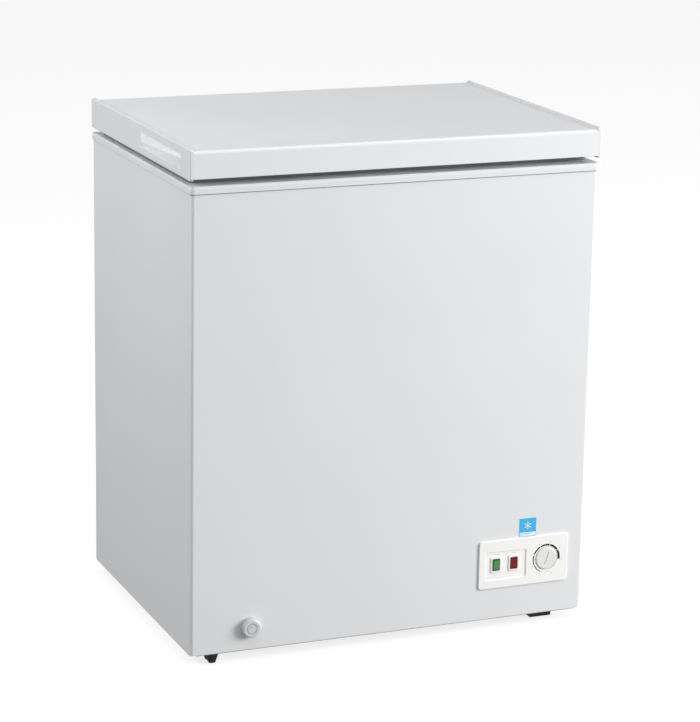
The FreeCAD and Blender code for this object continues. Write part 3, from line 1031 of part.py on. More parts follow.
def roller(label, y):
    """A roller between the two V-shaped cheeks of a folded bracket, its axle along Y."""
    half = "(wheel_width / 2 + hinge_gap)"
    cheeks = []
    for end in (-1, 1):
        points = [("-fork_foot / 2", "fork_lift"), ("fork_foot / 2", "fork_lift"), ("fork_top / 2", BASE_LOW),
                  ("-fork_top / 2", BASE_LOW)]
        cheek = padded(f"{label}_cheek", "XZ_Plane", points, "fork_gauge", "fork_round",
                       lambda edge: along("y")(edge) and edge.Vertexes[0].Z < sheet.fork_lift + 0.1)
        outer = f"{y} + {end} * ({half} + fork_gauge / 2) + fork_gauge / 2"
        cheeks.append(bind(cheek, x=ROLLER_ACROSS, y=outer))
    top = box(label + "_top", f"{ROLLER_ACROSS} - fork_top / 2", f"{y} - {half} - fork_gauge",
              f"{BASE_LOW} - fork_gauge", "fork_top", f"2 * {half} + 2 * fork_gauge", "fork_gauge")
    hole = rod(label + "_hole", "y", ROLLER_ACROSS, f"{y} - wheel_width", "wheel_radius", "axle_radius",
               "2 * wheel_width")
    fork = cut(label + "_fork_cut", fuse(label + "_fork", top, *cheeks), hole)
    pin = rod(label + "_pin", "y", ROLLER_ACROSS, f"{y} - {half} - fork_gauge", "wheel_radius",
              "axle_radius", f"2 * {half} + 2 * fork_gauge")
    heads = [rod(label + "_pin_head", "y", ROLLER_ACROSS, f"{y} + {end} * ({half} + fork_gauge)"
                 f" - {(1 - end) // 2} * axle_head_gauge", "wheel_radius", "axle_head", "axle_head_gauge")
             for end in (-1, 1)]
    axle = fuse(label + "_axle", pin, *heads)
    rim, bore = "wheel_radius", "axle_radius + axle_clearance"
    wheel = rod(label + "_tread", "y", ROLLER_ACROSS, f"{y} - wheel_width / 2", "wheel_radius", rim,
                "wheel_width")
    centre = rod(label + "_bore", "y", ROLLER_ACROSS, f"{y} - wheel_width", "wheel_radius", bore,
                 "2 * wheel_width")
    doc.recompute()
    soft = rounded(label + "_tread_soft", wheel, sheet.tread_round,
                   lambda edge: edge.Curve.TypeId == "Part::GeomCircle")
    piece(label + "_wheel", cut(label + "_wheel_cut", soft, centre))
    return fork, axle


def feet_and_rollers():
    piece("right_feet", group("foot_pair", [right_foot("front_foot", f"{FRONT} + foot_setback + foot_width"),
                                            right_foot("rear_foot", f"{BACK} - foot_setback")]))
    pairs = zip(roller("front_roller", f"({FRONT} + roller_setback)"),
                roller("rear_roller", f"({BACK} - roller_setback)"))
    for label, pair in zip(("roller_brackets", "roller_axles"), pairs):
        piece(label, group(label + "_pair", list(pair)))


# ---------------------------------------------------------------- basket
BALL = 1.06        # how much wider the weld at a wire's corner is than the wire


def wire(points, radius):
    """Round wire through points, with ball corners, as loose solids."""
    solids = []
    for begin, end in zip(points, points[1:]):
        solids.append(Part.makeCylinder(radius, (end - begin).Length, begin, end - begin))
    for corner in points[1:-1]:
        solids.append(Part.makeSphere(radius * BALL, corner))
    return solids


def storage_basket():
    """Welded wire basket that hangs by four hooks from the top frame, at the right end of the tub."""
    thick, thin = sheet.rim_wire, sheet.mesh_wire
    edge = sheet.frame_inner_wall + sheet.basket_gap
    right = sheet.cabinet_width / 2 - sheet.wall - edge
    left = right - sheet.basket_length
    deep = sheet.cabinet_depth / 2 - sheet.wall - edge - 1.6 * thick
    top = sheet.frame_top - sheet.rim_below_frame
    low = top - sheet.basket_drop
    taper, margin, inset = sheet.basket_taper, sheet.mesh_margin, sheet.mesh_inset
    rim = [Vector(left, -deep, top), Vector(right, -deep, top), Vector(right, deep, top), Vector(left, deep, top)]
    solids = wire(rim + rim[:1], thick) + [Part.makeSphere(thick * BALL, rim[0])]
    pitch = (right - left - 2 * margin) / (sheet.cross_wires - 1)
    base_pitch = (right - left - 2 * taper - 2 * inset) / (sheet.cross_wires - 1)
    for number in range(int(sheet.cross_wires)):
        x, base = left + margin + pitch * number, left + taper + inset + base_pitch * number
        solids += wire([Vector(x, -deep, top), Vector(base, taper - deep, low), Vector(base, deep - taper, low),
                        Vector(x, deep, top)], thin)
    for number in range(int(sheet.long_wires)):
        share = 2 * number / (sheet.long_wires - 1) - 1
        y, base, z = (deep - margin) * share, (deep - taper - inset) * share, low + thin * 1.5
        solids += wire([Vector(left, y, top), Vector(left + taper, base, z), Vector(right - taper, base, z),
                        Vector(right, y, top)], thin)
    middle = (top + low) / 2
    half = taper / 2 - thin
    belt = [Vector(left + half, half - deep, middle), Vector(right - half, half - deep, middle),
            Vector(right - half, deep - half, middle), Vector(left + half, deep - half, middle)]
    solids += wire(belt + belt[:1], thin) + [Part.makeSphere(thin * BALL, belt[0])]
    hook_z = sheet.frame_top + sheet.gasket_gap + thick
    reach = edge + sheet.hanger_reach
    for side in (-1, 1):
        for x in (left + margin + 1.5 * pitch, right - margin - 1.5 * pitch):
            solids += wire([Vector(x, side * deep, top), Vector(x, side * deep, hook_z),
                            Vector(x, side * (deep + reach), hook_z)], thick)
            solids.append(Part.makeSphere(thick, Vector(x, side * (deep + reach), hook_z)))
    whole = solids[0].multiFuse(solids[1:])
    if len(whole.Solids) != 1:
        raise ValueError("the basket's wires do not all meet")
    piece("storage_basket", feature("basket_wires", whole.Solids[0]))


# ---------------------------------------------------------------- build
def build():
    front_panel()
    side_panels()
    back_panel()
    bottom_plate()
    bay_lining()
    tub_outside = inner_liner()
    coils = [evaporator_coil(), condenser_coil()]
    foam_insulation(tub_outside, coils)
    top_frame()
    lid_skin()
    pockets = [lid_end_cap("lid_end_cap_left", -1), lid_end_cap("lid_end_cap_right", 1)]
    lid_foam(pockets, lid_inner_panel())
    lid_gasket()
    hinges()
    control_panel()
    piece("lamp_bezels", group("bezel_pair", [lamp("green", LAMP_GREEN), lamp("red", LAMP_RED)]))
    thermostat()
    energy_label()
    drain()
    compressor()
    bay_pipes()
    rear_cover()
    side_grille()
    feet_and_rollers()
    storage_basket()


def write_parts():
    """Check every object, then write one file per sub-part."""
    doc.recompute()
    failed = [thing.Name for thing in doc.Objects if {"Invalid", "Error"} & set(thing.State)]
    for thing in PIECES:
        if thing.Shape.isNull() or not thing.Shape.isValid() or not thing.Shape.Solids:
            failed.append(thing.Label)
    if failed:
        raise SystemExit("failed: " + ", ".join(failed))
    os.makedirs("parts", exist_ok=True)
    for thing in PIECES:
        thing.Shape.exportStep(os.path.join("parts", thing.Label + ".step"))
        room = thing.Shape.BoundBox
        print("%-22s %2d solids %12.0f mm3  x %7.1f %7.1f  y %7.1f %7.1f  z %6.1f %6.1f" % (
            thing.Label, len(thing.Shape.Solids), thing.Shape.Volume, room.XMin, room.XMax, room.YMin,
            room.YMax, room.ZMin, room.ZMax))


build()
write_parts()
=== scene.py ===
"""Looks of the chest freezer: finishes on the CAD pieces, printed marks, studio and camera."""
import bmesh
import bpy
import json
import math
from mathutils import Matrix, Vector


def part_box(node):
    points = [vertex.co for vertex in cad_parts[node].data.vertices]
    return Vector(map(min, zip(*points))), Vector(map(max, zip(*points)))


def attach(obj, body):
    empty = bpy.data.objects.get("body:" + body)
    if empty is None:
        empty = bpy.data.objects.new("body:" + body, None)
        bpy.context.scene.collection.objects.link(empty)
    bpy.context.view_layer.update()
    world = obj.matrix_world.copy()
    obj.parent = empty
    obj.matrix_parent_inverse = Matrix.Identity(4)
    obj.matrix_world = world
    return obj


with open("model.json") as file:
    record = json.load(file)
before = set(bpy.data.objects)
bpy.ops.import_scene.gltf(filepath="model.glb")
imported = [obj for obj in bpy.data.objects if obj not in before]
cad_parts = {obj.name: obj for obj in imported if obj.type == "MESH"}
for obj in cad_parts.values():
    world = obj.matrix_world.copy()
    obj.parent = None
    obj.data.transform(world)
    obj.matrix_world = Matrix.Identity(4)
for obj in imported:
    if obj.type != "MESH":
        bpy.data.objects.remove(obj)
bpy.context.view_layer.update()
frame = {"nodes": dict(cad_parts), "record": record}
nodes = frame["nodes"]
MM = 0.001


# ---------------------------------------------------------------- finishes
def tint(colour, factor):
    return tuple(channel * factor for channel in colour[:3]) + (1.0,)


class Finish:
    """A material in the making: its shader, and short calls for the nodes that feed it."""

    def __init__(self, name, roughness=0.4, metallic=0.0, specular=0.5, coat=0.0, coat_roughness=0.1):
        self.material = bpy.data.materials.new(name)
        self.material.use_nodes = True
        self.tree = self.material.node_tree
        self.shader = self.tree.nodes["Principled BSDF"]
        self.shader.inputs["Roughness"].default_value = roughness
        self.shader.inputs["Metallic"].default_value = metallic
        self.shader.inputs["Specular IOR Level"].default_value = specular
        self.shader.inputs["Coat Weight"].default_value = coat
        self.shader.inputs["Coat Roughness"].default_value = coat_roughness
        self.place = self.add("ShaderNodeTexCoord").outputs["Object"]
        self.height = None

    def add(self, kind, **settings):
        node = self.tree.nodes.new(kind)
        for name, value in settings.items():
            setattr(node, name, value)
        return node

    def link(self, source, target):
        self.tree.links.new(source, target)

    def noise(self, size, detail=2.0, roughness=0.5):
        """Noise whose lumps are about size metres across."""
        node = self.add("ShaderNodeTexNoise")
        node.inputs["Scale"].default_value = 1.0 / size
        node.inputs["Detail"].default_value = detail
        node.inputs["Roughness"].default_value = roughness
        self.link(self.place, node.inputs["Vector"])
        return node.outputs["Fac"]

    def cells(self, size):
        """Cells about size metres across."""
        node = self.add("ShaderNodeTexVoronoi")
        node.inputs["Scale"].default_value = 1.0 / size
        self.link(self.place, node.inputs["Vector"])
        return node

    def span(self, value, low, high, new_low, new_high):
        node = self.add("ShaderNodeMapRange")
        for name, number in zip(("From Min", "From Max", "To Min", "To Max"), (low, high, new_low, new_high)):
            node.inputs[name].default_value = number
        self.link(value, node.inputs["Value"])
        return node.outputs["Result"]

    def blend(self, factor, first, second):
        node = self.add("ShaderNodeMix", data_type="RGBA")
        self.link(factor, node.inputs["Factor"])
        colour_inputs = [socket for socket in node.inputs if socket.type == "RGBA"]
        for socket, colour in zip(colour_inputs, (first, second)):
            if isinstance(colour, bpy.types.NodeSocket):
                self.link(colour, socket)
            else:
                socket.default_value = colour
        return [socket for socket in node.outputs if socket.type == "RGBA"][0]

    def colour(self, value):
        if isinstance(value, bpy.types.NodeSocket):
            self.link(value, self.shader.inputs["Base Color"])
        else:
            self.shader.inputs["Base Color"].default_value = value
        return self

    def mottled(self, colour, size, depth=0.03, detail=3.0):
        """A base colour that drifts a little lighter and darker over the surface."""
        drift = self.span(self.noise(size, detail), 0.3, 0.7, 0.0, 1.0)
        return self.colour(self.blend(drift, tint(colour, 1 - depth), tint(colour, 1 + depth)))

    def roughness(self, size, low, high, detail=2.0):
        self.link(self.span(self.noise(size, detail), 0.3, 0.7, low, high), self.shader.inputs["Roughness"])
        return self

    def bump(self, height, distance, strength=1.0):
        """Adds a relief; distance is its depth in metres."""
        node = self.add("ShaderNodeBump")
        node.inputs["Strength"].default_value = strength
        node.inputs["Distance"].default_value = distance
        self.link(height, node.inputs["Height"])
        if self.height is not None:
            self.link(self.height, node.inputs["Normal"])
        self.height = node.outputs["Normal"]
        self.link(self.height, self.shader.inputs["Normal"])
        return self


def painted_sheet(name, colour):
    """Baked paint on thin steel: fine orange peel, slow waves of the sheet, faint dust."""
    finish = Finish(name, roughness=0.38, specular=0.45, coat=0.15, coat_roughness=0.25)
    finish.mottled(colour, 0.22, 0.010)
    finish.roughness(0.06, 0.34, 0.42)
    finish.bump(finish.noise(0.30, 1.0), 0.0012, 0.35)
    finish.bump(finish.noise(0.0022, 1.0), 0.00002, 0.5)
    return finish.material


def moulded_plastic(name, colour, low=0.30, high=0.40, grain=0.0008, depth=0.000012, coat=0.1):
    finish = Finish(name, roughness=0.35, specular=0.5, coat=coat, coat_roughness=0.2)
    finish.mottled(colour, 0.05, 0.012)
    finish.roughness(0.03, low, high)
    finish.bump(finish.noise(0.05, 2.0), 0.00015, 0.3)
    finish.bump(finish.noise(grain, 2.0), depth, 0.6)
    return finish.material


def galvanised(name, colour=(0.60, 0.61, 0.62)):
    """Zinc-coated sheet: spangles of slightly different grey and gloss."""
    finish = Finish(name, roughness=0.42, metallic=0.85)
    spangle = finish.cells(0.009)
    shade = finish.blend(spangle.outputs["Color"], tint(colour, 0.86), tint(colour, 1.12))
    finish.colour(shade)
    finish.roughness(0.01, 0.36, 0.52)
    finish.bump(finish.noise(0.0012, 3.0), 0.00002, 0.5)
    return finish.material


def zinc_plated(name, colour=(0.62, 0.62, 0.60), low=0.28, high=0.45):
    finish = Finish(name, metallic=1.0)
    finish.mottled(colour, 0.012, 0.08)
    finish.roughness(0.006, low, high, 4.0)
    finish.bump(finish.noise(0.0007, 3.0), 0.00002, 0.6)
    return finish.material


def stucco_liner(name, colour):
    """Embossed aluminium sheet: shallow rounded pebbles under a satin white coat."""
    finish = Finish(name, roughness=0.34, specular=0.5, coat=0.2, coat_roughness=0.25)
    finish.mottled(colour, 0.15, 0.015)
    pebble = finish.cells(0.0045)
    finish.bump(pebble.outputs["Distance"], 0.0006, 0.6)
    finish.bump(finish.noise(0.2, 1.0), 0.0008, 0.4)
    finish.roughness(0.03, 0.30, 0.42)
    return finish.material


def insulating_foam(name, colour=(0.78, 0.64, 0.36)):
    finish = Finish(name, roughness=0.95, specular=0.15)
    finish.mottled(colour, 0.03, 0.10, 5.0)
    finish.bump(finish.noise(0.003, 5.0, 0.7), 0.0008, 0.9)
    return finish.material


def soft_vinyl(name, colour):
    """Gasket vinyl: matte, with a little dust and a fine grain."""
    finish = Finish(name, roughness=0.6, specular=0.35)
    finish.mottled(colour, 0.04, 0.08)
    finish.roughness(0.02, 0.52, 0.72)
    finish.bump(finish.noise(0.0006, 2.0), 0.00003, 0.5)
    return finish.material


def black_moulding(name, colour=(0.018, 0.018, 0.020), low=0.38, high=0.55):
    finish = Finish(name, roughness=0.45, specular=0.5)
    finish.mottled(colour, 0.01, 0.18)
    finish.roughness(0.008, low, high)
    finish.bump(finish.noise(0.0006, 3.0), 0.00003, 0.7)
    return finish.material


def stove_enamel(name, colour=(0.012, 0.012, 0.013)):
    finish = Finish(name, roughness=0.28, specular=0.5, coat=0.4, coat_roughness=0.15)
    finish.mottled(colour, 0.04, 0.25)
    finish.roughness(0.03, 0.22, 0.38)
    finish.bump(finish.noise(0.002, 1.0), 0.00005, 0.5)
    return finish.material


def copper_pipe(name, colour=(0.72, 0.36, 0.20)):
    """Drawn copper, dulled and stained brown in patches."""
    finish = Finish(name, metallic=1.0)
    stain = finish.span(finish.noise(0.02, 5.0), 0.4, 0.65, 0.0, 1.0)
    finish.colour(finish.blend(stain, tint(colour, 1.0), (0.36, 0.20, 0.13, 1)))
    finish.roughness(0.01, 0.25, 0.5)
    return finish.material


def coated_wire(name, colour=(0.80, 0.80, 0.79)):
    finish = Finish(name, roughness=0.28, specular=0.5, coat=0.3, coat_roughness=0.15)
    finish.mottled(colour, 0.05, 0.02)
    finish.roughness(0.02, 0.22, 0.34)
    finish.bump(finish.noise(0.003, 1.0), 0.00008, 0.4)
    return finish.material


def lamp_lens(name, colour, highlight_tint, node):
    """Moulded lens: a deep tone at the rim and a ribbed middle painted paler as a highlight."""
    low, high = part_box(node)
    middle = (Vector(low) + Vector(high)) / 2
    finish = Finish(name, roughness=0.18, specular=0.5, coat=0.6, coat_roughness=0.05)
    parts = finish.add("ShaderNodeSeparateXYZ")
    finish.link(finish.place, parts.inputs["Vector"])

    def edge_distance(axis, centre, half):
        offset = finish.add("ShaderNodeMath", operation="SUBTRACT")
        finish.link(parts.outputs[axis], offset.inputs[0])
        offset.inputs[1].default_value = centre
        size = finish.add("ShaderNodeMath", operation="ABSOLUTE")
        finish.link(offset.outputs[0], size.inputs[0])
        return finish.span(size.outputs[0], half * 0.55, half * 0.95, 1.0, 0.0)

    across = edge_distance("X", middle.x, (high[0] - low[0]) / 2)
    upright = edge_distance("Z", middle.z, (high[2] - low[2]) / 2)
    both = finish.add("ShaderNodeMath", operation="MULTIPLY")
    finish.link(across, both.inputs[0])
    finish.link(upright, both.inputs[1])
    # The paler middle is a painted highlight.
    finish.colour(finish.blend(both.outputs[0], tint(colour, 1.0), tint(highlight_tint, 1.0)))
    ribs = finish.add("ShaderNodeTexWave", wave_type="BANDS", bands_direction="X")
    ribs.inputs["Scale"].default_value = 120.0
    finish.link(finish.place, ribs.inputs["Vector"])
    finish.bump(ribs.outputs["Fac"], 0.00012, 0.5)
    return finish.material


def printed(name, colour, roughness=0.45):
    """Ink or film, faintly uneven."""
    finish = Finish(name, roughness=roughness, specular=0.4)
    finish.mottled(colour, 0.002, 0.04)
    finish.bump(finish.noise(0.0005, 2.0), 0.00001, 0.3)
    return finish.material


PAINT_WHITE = (0.775, 0.785, 0.800)
LID_WHITE = (0.800, 0.808, 0.820)
PLASTIC_WHITE = (0.775, 0.785, 0.800)
PANEL_CREAM = (0.940, 0.935, 0.915)

FINISHES = {
    "white_sheet": painted_sheet("cabinet_paint", PAINT_WHITE),
    "lid_sheet": painted_sheet("lid_paint", LID_WHITE),
    "galvanised_sheet": galvanised("galvanised_sheet"),
    "liner": stucco_liner("embossed_liner", (0.80, 0.81, 0.82)),
    "aluminium_tube": zinc_plated("mill_aluminium", (0.72, 0.73, 0.74)),
    "steel_tube": stove_enamel("coated_steel_tube", (0.10, 0.10, 0.105)),
    "foam": insulating_foam("insulating_foam"),
    "frame_plastic": moulded_plastic("frame_plastic", PLASTIC_WHITE, 0.28, 0.36),
    "cap_plastic": moulded_plastic("cap_plastic", (0.765, 0.775, 0.792), 0.30, 0.38),
    # Grey gasket vinyl tinted darker than its own grey, as painted shade of the gap under the lid.
    "gasket_rubber": soft_vinyl("gasket_vinyl_darkened_as_shade", (0.17, 0.175, 0.18)),
    "zinc_steel": zinc_plated("zinc_plate"),
    "spring_steel": zinc_plated("oiled_spring_steel", (0.30, 0.30, 0.31), 0.25, 0.40),
    "cover_plastic": moulded_plastic("grained_white_plastic", (0.76, 0.77, 0.775), 0.42, 0.55,
                                     0.0012, 0.00004),
    "panel_plastic": moulded_plastic("panel_plastic", PANEL_CREAM, 0.30, 0.38),
    # Each lens: its own deep tone, then the paler tint of its painted highlight.
    "green_lens": lamp_lens("green_lens", (0.012, 0.120, 0.020), (0.075, 0.30, 0.085), "green_lamp_lens"),
    "red_lens": lamp_lens("red_lens", (0.13, 0.002, 0.004), (0.215, 0.004, 0.010), "red_lamp_lens"),
    "knob_plastic": moulded_plastic("knob_plastic", (0.80, 0.815, 0.80), 0.24, 0.32),
    "dial_plastic": moulded_plastic("drain_dial_plastic", (0.64, 0.65, 0.67), 0.34, 0.44),
    "switch_plastic": moulded_plastic("switch_phenolic", (0.55, 0.50, 0.38), 0.5, 0.65),
    "blue_label": printed("label_film", (0.060, 0.47, 0.83), 0.32),
    "black_steel": stove_enamel("compressor_enamel"),
    "black_rubber": black_moulding("black_rubber", (0.015, 0.015, 0.016), 0.6, 0.8),
    "black_plastic": black_moulding("black_plastic"),
    "copper_tube": copper_pipe("copper_pipe"),
    "basket_wire": coated_wire("vinyl_coated_wire"),
}

for entry in frame["record"]["subparts"]:
    mesh = nodes[entry["node"]].data
    mesh.materials.clear()
    mesh.materials.append(FINISHES[entry["material_slot"]])


# ---------------------------------------------------------------- new pieces
def new_piece(name, bm, material, body):
    """Turns a bmesh into an object that rides on a body and wears the finish it is given."""
    bmesh.ops.recalc_face_normals(bm, faces=bm.faces)
    mesh = bpy.data.meshes.new(name)
    bm.to_mesh(mesh)
    bm.free()
    mesh.materials.append(material)
    thing = bpy.data.objects.new(name, mesh)
    bpy.context.scene.collection.objects.link(thing)
    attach(thing, body)


def centre_of(node):
    low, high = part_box(node)
    return (Vector(low) + Vector(high)) / 2


def thicken(bm, thickness):
    """Turns flat faces that look towards -Y into a thin solid that stands forward of them."""
    faces = bm.faces[:]
    grown = bmesh.ops.extrude_face_region(bm, geom=faces)
    front = [item for item in grown["geom"] if isinstance(item, bmesh.types.BMVert)]
    bmesh.ops.translate(bm, vec=(0, -thickness, 0), verts=front)


def clock(radius, degrees):
    """A place on a dial seen from the front, from its top, clockwise; X and Z."""
    angle = math.radians(degrees)
    return radius * math.sin(angle), radius * math.cos(angle)


def placed_print(name, bm, at, material, body="cabinet"):
    """Gives flat print its thickness and lays it on a face that looks towards -Y."""
    thicken(bm, INK)
    bmesh.ops.translate(bm, vec=at, verts=bm.verts)
    new_piece(name, bm, material, body)


def bar(bm, width, length, degrees=0.0, across=0.0, up=0.0):
    """A flat strip that faces -Y, upright before it is turned clockwise about its middle."""
    turn = Matrix.Translation((across, 0, up)) @ Matrix.Rotation(math.radians(degrees), 4, "Y") \
        @ Matrix.Diagonal((width, 1.0, length, 1.0)) @ Matrix.Rotation(math.radians(90), 4, "X")
    bmesh.ops.create_grid(bm, x_segments=1, y_segments=1, size=0.5, matrix=turn)


def ring(bm, inner, outer, start=0.0, sweep=360.0, steps=48, across=0.0, up=0.0):
    """A flat ring or arc that faces -Y, clockwise from its start."""
    top, low = bm.verts.new((0, 0, outer)), bm.verts.new((0, 0, inner))
    edge = bm.edges.new((top, low))
    bmesh.ops.rotate(bm, verts=[top, low], cent=(0, 0, 0),
                     matrix=Matrix.Rotation(math.radians(start), 3, "Y"))
    bmesh.ops.spin(bm, geom=[top, low, edge], cent=(0, 0, 0), axis=(0, 1, 0), dvec=(0, 0, 0),
                   angle=math.radians(sweep), steps=steps, use_merge=sweep == 360.0, use_duplicate=False)


INK = 0.06 * MM            # thickness of print
PANEL_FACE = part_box("control_panel")[0][1]
knob = centre_of("thermostat_knob")
KNOB_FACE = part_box("thermostat_knob")[0][1]
MARK_FIRST, MARK_STEP = 160.0, 42.85      # degrees clockwise from the top: mark 0, and from mark to mark
RING_OUTER = 25.4 * MM
ARC_GAP = 1.6              # degrees left open at each end of an arc
ARC_THIN, ARC_GROWTH = 1.2 * MM, 3.4 * MM
THIN_SHARE = 0.12          # share of the scale that stays thin
DOTS, DOT_FIRST, DOT_STEP = 6, 5.0, 6.6
DOT_SIZE = 0.9 * MM
NUMBER_RADIUS, NUMBER_SIZE = 29.0 * MM, 4.6 * MM
SLOT_DEPTH = 0.5 * MM
POINTER_WIDTH, POINTER_LENGTH, POINTER_TURN = 1.1 * MM, 23.6 * MM, 19.5
DASH_WIDTH, DASH_RISE, DASH_STEP, DASH_LIFT = 2.4 * MM, 0.8 * MM, 3.4 * MM, 17.5 * MM
SKIRT_LOW, SHEET_CORNER = 778.8 * MM, 5.5 * MM
# The dark strip under the skirt is painted shadow: how far it stands out and how tall it is.
SHADOW_STRIP_PROUD, SHADOW_STRIP_RISE = 0.5 * MM, 1.1 * MM
GRIP_START, GRIP_LENGTH, GRIP_DEPTH = 43.5 * MM, 210 * MM, 15 * MM
GRIP_LIFT, GRIP_SILL, GRIP_RISE = 12.3 * MM, 8.0 * MM, 24.8 * MM
DISH_FACE = PANEL_FACE + 1.2 * MM


def dial_ring():
    """The scale round the knob: six arcs that thicken towards the coldest mark, and a dotted first step."""
    bm = bmesh.new()
    for number in range(1, 7):
        start = MARK_FIRST + number * MARK_STEP + ARC_GAP
        ring(bm, RING_OUTER - MM, RING_OUTER, start, MARK_STEP - 2 * ARC_GAP, 14)
    for vert in bm.verts:
        radius = math.hypot(vert.co.x, vert.co.z)
        if radius < RING_OUTER - 0.5 * MM:
            angle = math.degrees(math.atan2(vert.co.x, vert.co.z)) % 360
            along = ((angle - MARK_FIRST) % 360) / (7 * MARK_STEP)
            width = ARC_THIN + ARC_GROWTH * max(0.0, along - THIN_SHARE)
            factor = (RING_OUTER - width) / radius
            vert.co.x *= factor
            vert.co.z *= factor
    for dot in range(DOTS):
        angle = MARK_FIRST + DOT_FIRST + dot * DOT_STEP
        x, z = clock(RING_OUTER - ARC_THIN / 2, angle)
        bar(bm, DOT_SIZE, DOT_SIZE, angle, x, z)
    placed_print("dial_ring_print", bm, (knob.x, PANEL_FACE, knob.z), INK_BLACK)


def dial_numbers():
    """Small grey numbers 0 to 7 outside the scale."""
    bm = bmesh.new()
    for number in range(8):
        curve = bpy.data.curves.new("figure", "FONT")
        curve.body = str(number)
        curve.size = NUMBER_SIZE
        curve.align_x, curve.align_y = "CENTER", "CENTER"
        curve.resolution_u = 3
        holder = bpy.data.objects.new("figure", curve)
        flat = bpy.data.meshes.new_from_object(holder)
        x, z = clock(NUMBER_RADIUS, MARK_FIRST + number * MARK_STEP)
        flat.transform(Matrix.Translation((x, 0, z)) @ Matrix.Rotation(math.radians(90), 4, "X"))
        bm.from_mesh(flat)
        bpy.data.meshes.remove(flat)
        bpy.data.objects.remove(holder)
        bpy.data.curves.remove(curve)
    bmesh.ops.remove_doubles(bm, verts=bm.verts, dist=0.001 * MM)
    placed_print("dial_numbers", bm, (knob.x, PANEL_FACE, knob.z), INK_GREY)


def knob_pointer():
    """Grey line along the floor of the knob's coin slot."""
    bm = bmesh.new()
    bar(bm, POINTER_WIDTH, POINTER_LENGTH, POINTER_TURN)
    slot_floor = (knob.x, KNOB_FACE + SLOT_DEPTH, knob.z)
    placed_print("knob_pointer", bm, slot_floor, PALE_INK_AND_SHADE, "temperature_knob")


def lamp_marks():
    """A row of plain dashes over each lamp."""
    bm = bmesh.new()
    for node, dashes in (("green_lamp_lens", 4), ("red_lamp_lens", 3)):
        lens = centre_of(node)
        for dash in range(dashes):
            across = lens.x + (dash - (dashes - 1) / 2) * DASH_STEP
            bar(bm, DASH_WIDTH, DASH_RISE, 0.0, across, lens.z + DASH_LIFT)
    placed_print("lamp_marks", bm, (0, DISH_FACE, 0), PALE_INK_AND_SHADE)


def drain_mark():
    """A small arrow inside a circle on the drain's dial; the circle is painted shade along the edge of the
    dial's dish.
    """
    low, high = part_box("drain_dial")
    middle = centre_of("drain_dial")
    bm = bmesh.new()
    bar(bm, 0.7 * MM, 4.5 * MM, 40.0, -2.0 * MM, 2.5 * MM)
    bar(bm, 0.7 * MM, 2.6 * MM, -10.0, -3.6 * MM, 3.2 * MM)
    bar(bm, 0.7 * MM, 2.6 * MM, 90.0, -2.6 * MM, 4.2 * MM)
    # This circle is painted shade along the edge of the dial's dish, drawn in the pale ink.
    ring(bm, 8.8 * MM, 9.3 * MM)
    placed_print("drain_dial_mark_and_painted_shade", bm, (middle.x, low[1], middle.z), PALE_INK_AND_SHADE, "dial")


def label_print():
    """Generic picture on the blue label: a snowflake over a pale band of short bars."""
    low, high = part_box("energy_label")
    width, rise = high[0] - low[0], high[2] - low[2]
    bm = bmesh.new()
    bar(bm, width * 0.94, rise * 0.20, 0.0, 0.0, -rise * 0.36)
    for arm in range(3):
        bar(bm, 0.9 * MM, rise * 0.42, arm * 60.0, 0.0, rise * 0.10)
    for arm in range(6):
        for side in (-1, 1):
            x, z = clock(rise * 0.145, arm * 60.0)
            bar(bm, 0.7 * MM, 3.0 * MM, arm * 60.0 + side * 55.0, x, z + rise * 0.10)
    middle = centre_of("energy_label")
    placed_print("label_print", bm, (middle.x, low[1], middle.z), INK_WHITE)
    bm = bmesh.new()
    for row, share in enumerate((0.70, 0.52)):
        bar(bm, width * share, 0.8 * MM, 0.0, -width * (0.90 - share) / 2, -rise * (0.325 + 0.075 * row))
    placed_print("label_bars", bm, (middle.x, low[1] - INK, middle.z), INK_BLUE)


def skirt_bead():
    """Thin dark strip where the top frame's skirt ends, round the front and both sides: painted shadow of the
    skirt, set where there is only shade.
    """
    low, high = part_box("front_panel")
    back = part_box("left_side_panel")[1][1]
    line = [(high[0] + SHADOW_STRIP_PROUD, back)]
    for middle, start in ((high[0] - SHEET_CORNER, 0), (low[0] + SHEET_CORNER, 90)):
        for angle in range(start, start + 91, 15):
            reach = SHEET_CORNER + SHADOW_STRIP_PROUD
            line.append((middle + reach * math.cos(math.radians(angle)),
                         low[1] + SHEET_CORNER - reach * math.sin(math.radians(angle))))
    line.append((low[0] - SHADOW_STRIP_PROUD, back))
    bm = bmesh.new()
    corners = [bm.verts.new((x, y, SKIRT_LOW)) for x, y in line]
    for first, second in zip(corners, corners[1:]):
        bm.edges.new((first, second))
    grown = bmesh.ops.extrude_edge_only(bm, edges=bm.edges[:])
    lowered = [item for item in grown["geom"] if isinstance(item, bmesh.types.BMVert)]
    bmesh.ops.translate(bm, vec=(0, 0, -SHADOW_STRIP_RISE), verts=lowered)
    bmesh.ops.recalc_face_normals(bm, faces=bm.faces)
    bmesh.ops.solidify(bm, geom=bm.faces[:], thickness=SHADOW_STRIP_PROUD)
    new_piece("skirt_bead", bm, SKIRT_SHADOW_DARK, "cabinet")


